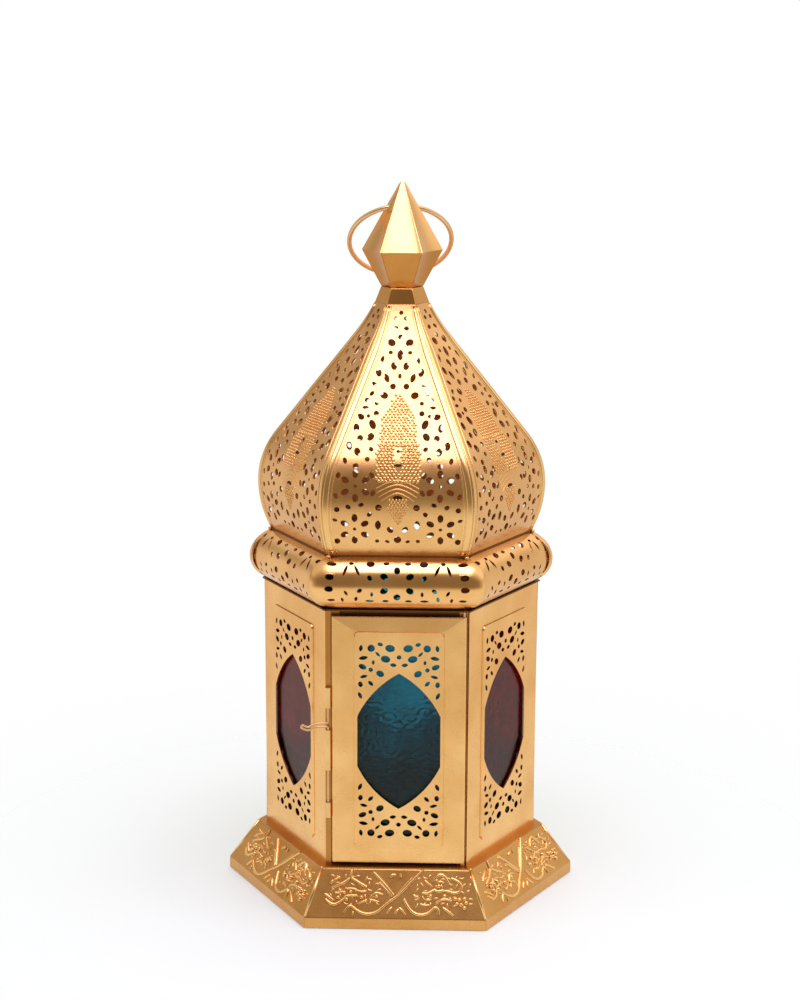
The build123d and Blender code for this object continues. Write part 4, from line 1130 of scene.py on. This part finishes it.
def make_camera():
    data = bpy.data.cameras.new("camera")
    data.lens = CAMERA_LENS
    data.sensor_width = CAMERA_SENSOR
    data.sensor_fit = "AUTO"
    data.shift_x = -AXIS_OFFSET_SHARE
    data.clip_start = CAMERA_CLIP
    camera = bpy.data.objects.new("camera", data)
    aside = math.sin(CAMERA_AZIMUTH) * CAMERA_REACH
    ahead = math.cos(CAMERA_AZIMUTH) * CAMERA_REACH
    camera.location = (aside, -ahead, CAMERA_HEIGHT)
    turn = Matrix.Rotation(CAMERA_AZIMUTH, 4, "Z")
    tilt = Matrix.Rotation(math.radians(90) - CAMERA_PITCH, 4, "X")
    camera.rotation_euler = (turn @ tilt @ Matrix.Rotation(CAMERA_ROLL, 4, "Z")).to_euler()
    bpy.context.scene.collection.objects.link(camera)
    bpy.context.scene.camera = camera


def make_floor():
    bm = bmesh.new()
    bmesh.ops.create_grid(bm, x_segments=1, y_segments=1, size=FLOOR_FAR)
    mesh = bpy.data.meshes.new("floor")
    bm.to_mesh(mesh)
    bm.free()
    floor = bpy.data.objects.new("floor", mesh)
    floor.location.z = -FLOOR_DROP
    bpy.context.scene.collection.objects.link(floor)
    mesh.materials.append(pale_floor("pale_floor"))


def make_softbox():
    """Softbox over the lantern's front, looking straight down."""
    data = bpy.data.lights.new("softbox", "AREA")
    data.shape = "RECTANGLE"
    data.size, data.size_y = SOFTBOX_SIZE
    data.energy = SOFTBOX_POWER
    data.color = SOFTBOX_TONE
    lamp = bpy.data.objects.new("softbox", data)
    lamp.location = SOFTBOX_PLACE
    down = Vector((0, 0, -SOFTBOX_PLACE[2]))
    lamp.rotation_euler = down.to_track_quat("-Z", "Y").to_euler()
    bpy.context.scene.collection.objects.link(lamp)


def make_world():
    """White sweep round the lantern, lighter on the right, with a dim warm room behind the camera."""
    world = bpy.data.worlds.new("studio")
    bpy.context.scene.world = world
    world.use_nodes = True
    maker = Field(world.node_tree)
    way = maker.make("ShaderNodeTexCoord", output="Generated")
    across, depth, rise = (
        maker.make("ShaderNodeSeparateXYZ", None, {0: way}, output=axis) for axis in "XYZ"
    )
    upper = rise.between(*UPPER_RISE, 0.0, 1.0)
    sides = across.between(-SIDE_TURN, SIDE_TURN, WORLD_LEFT, WORLD_RIGHT)
    sides = sides + rise.between(*HIGH_RISE, 0.0, WORLD_HIGH)
    lower = depth.between(-DEPTH_TURN, DEPTH_TURN, WORLD_FRONT, WORLD_BACK)
    sweep = upper * sides + (1 - upper) * lower
    band = rise.between(*ROOM_FOOT, 0.0, 1.0) * rise.between(*ROOM_HEAD, 1.0, 0.0)
    room = depth.between(*ROOM_DEPTH, 1.0, 0.0) * band
    tone = sweep * (1 - room) + room * WORLD_ROOM
    seen = maker.make("ShaderNodeLightPath", output="Is Camera Ray")
    tone = tone + seen * (1 - tone)
    mirrored = maker.make("ShaderNodeLightPath", output="Is Glossy Ray")
    dimness = tone.between(WORLD_ROOM, 1.0, 1.0, 0.0)
    warmth = maker.math("MAXIMUM", dimness, depth.between(*WARM_DEPTH, 0.0, WARM_BACK))
    tint = (mirrored * warmth).mixed(colour((1, 1, 1)), colour(ROOM_TINT))
    background = world.node_tree.nodes["Background"]
    world.node_tree.links.new(tint.socket, background.inputs["Color"])
    world.node_tree.links.new(tone.socket, background.inputs["Strength"])


def make_studio():
    make_floor()
    make_world()
    make_softbox()
    make_camera()
    bpy.context.scene.view_settings.view_transform = "Standard"


dress_nodes()
add_dome_dressing()
add_rims()
add_upper_deck()
add_panels()
add_base_dressing()
add_panes()
add_solder_dots()
add_finial()
add_softened("neck_collar", NECK_EDGE, "neck")
for side in PLACES:
    add_softened(f"base_panel_{side}", BASE_EDGE, "base")
make_studio()
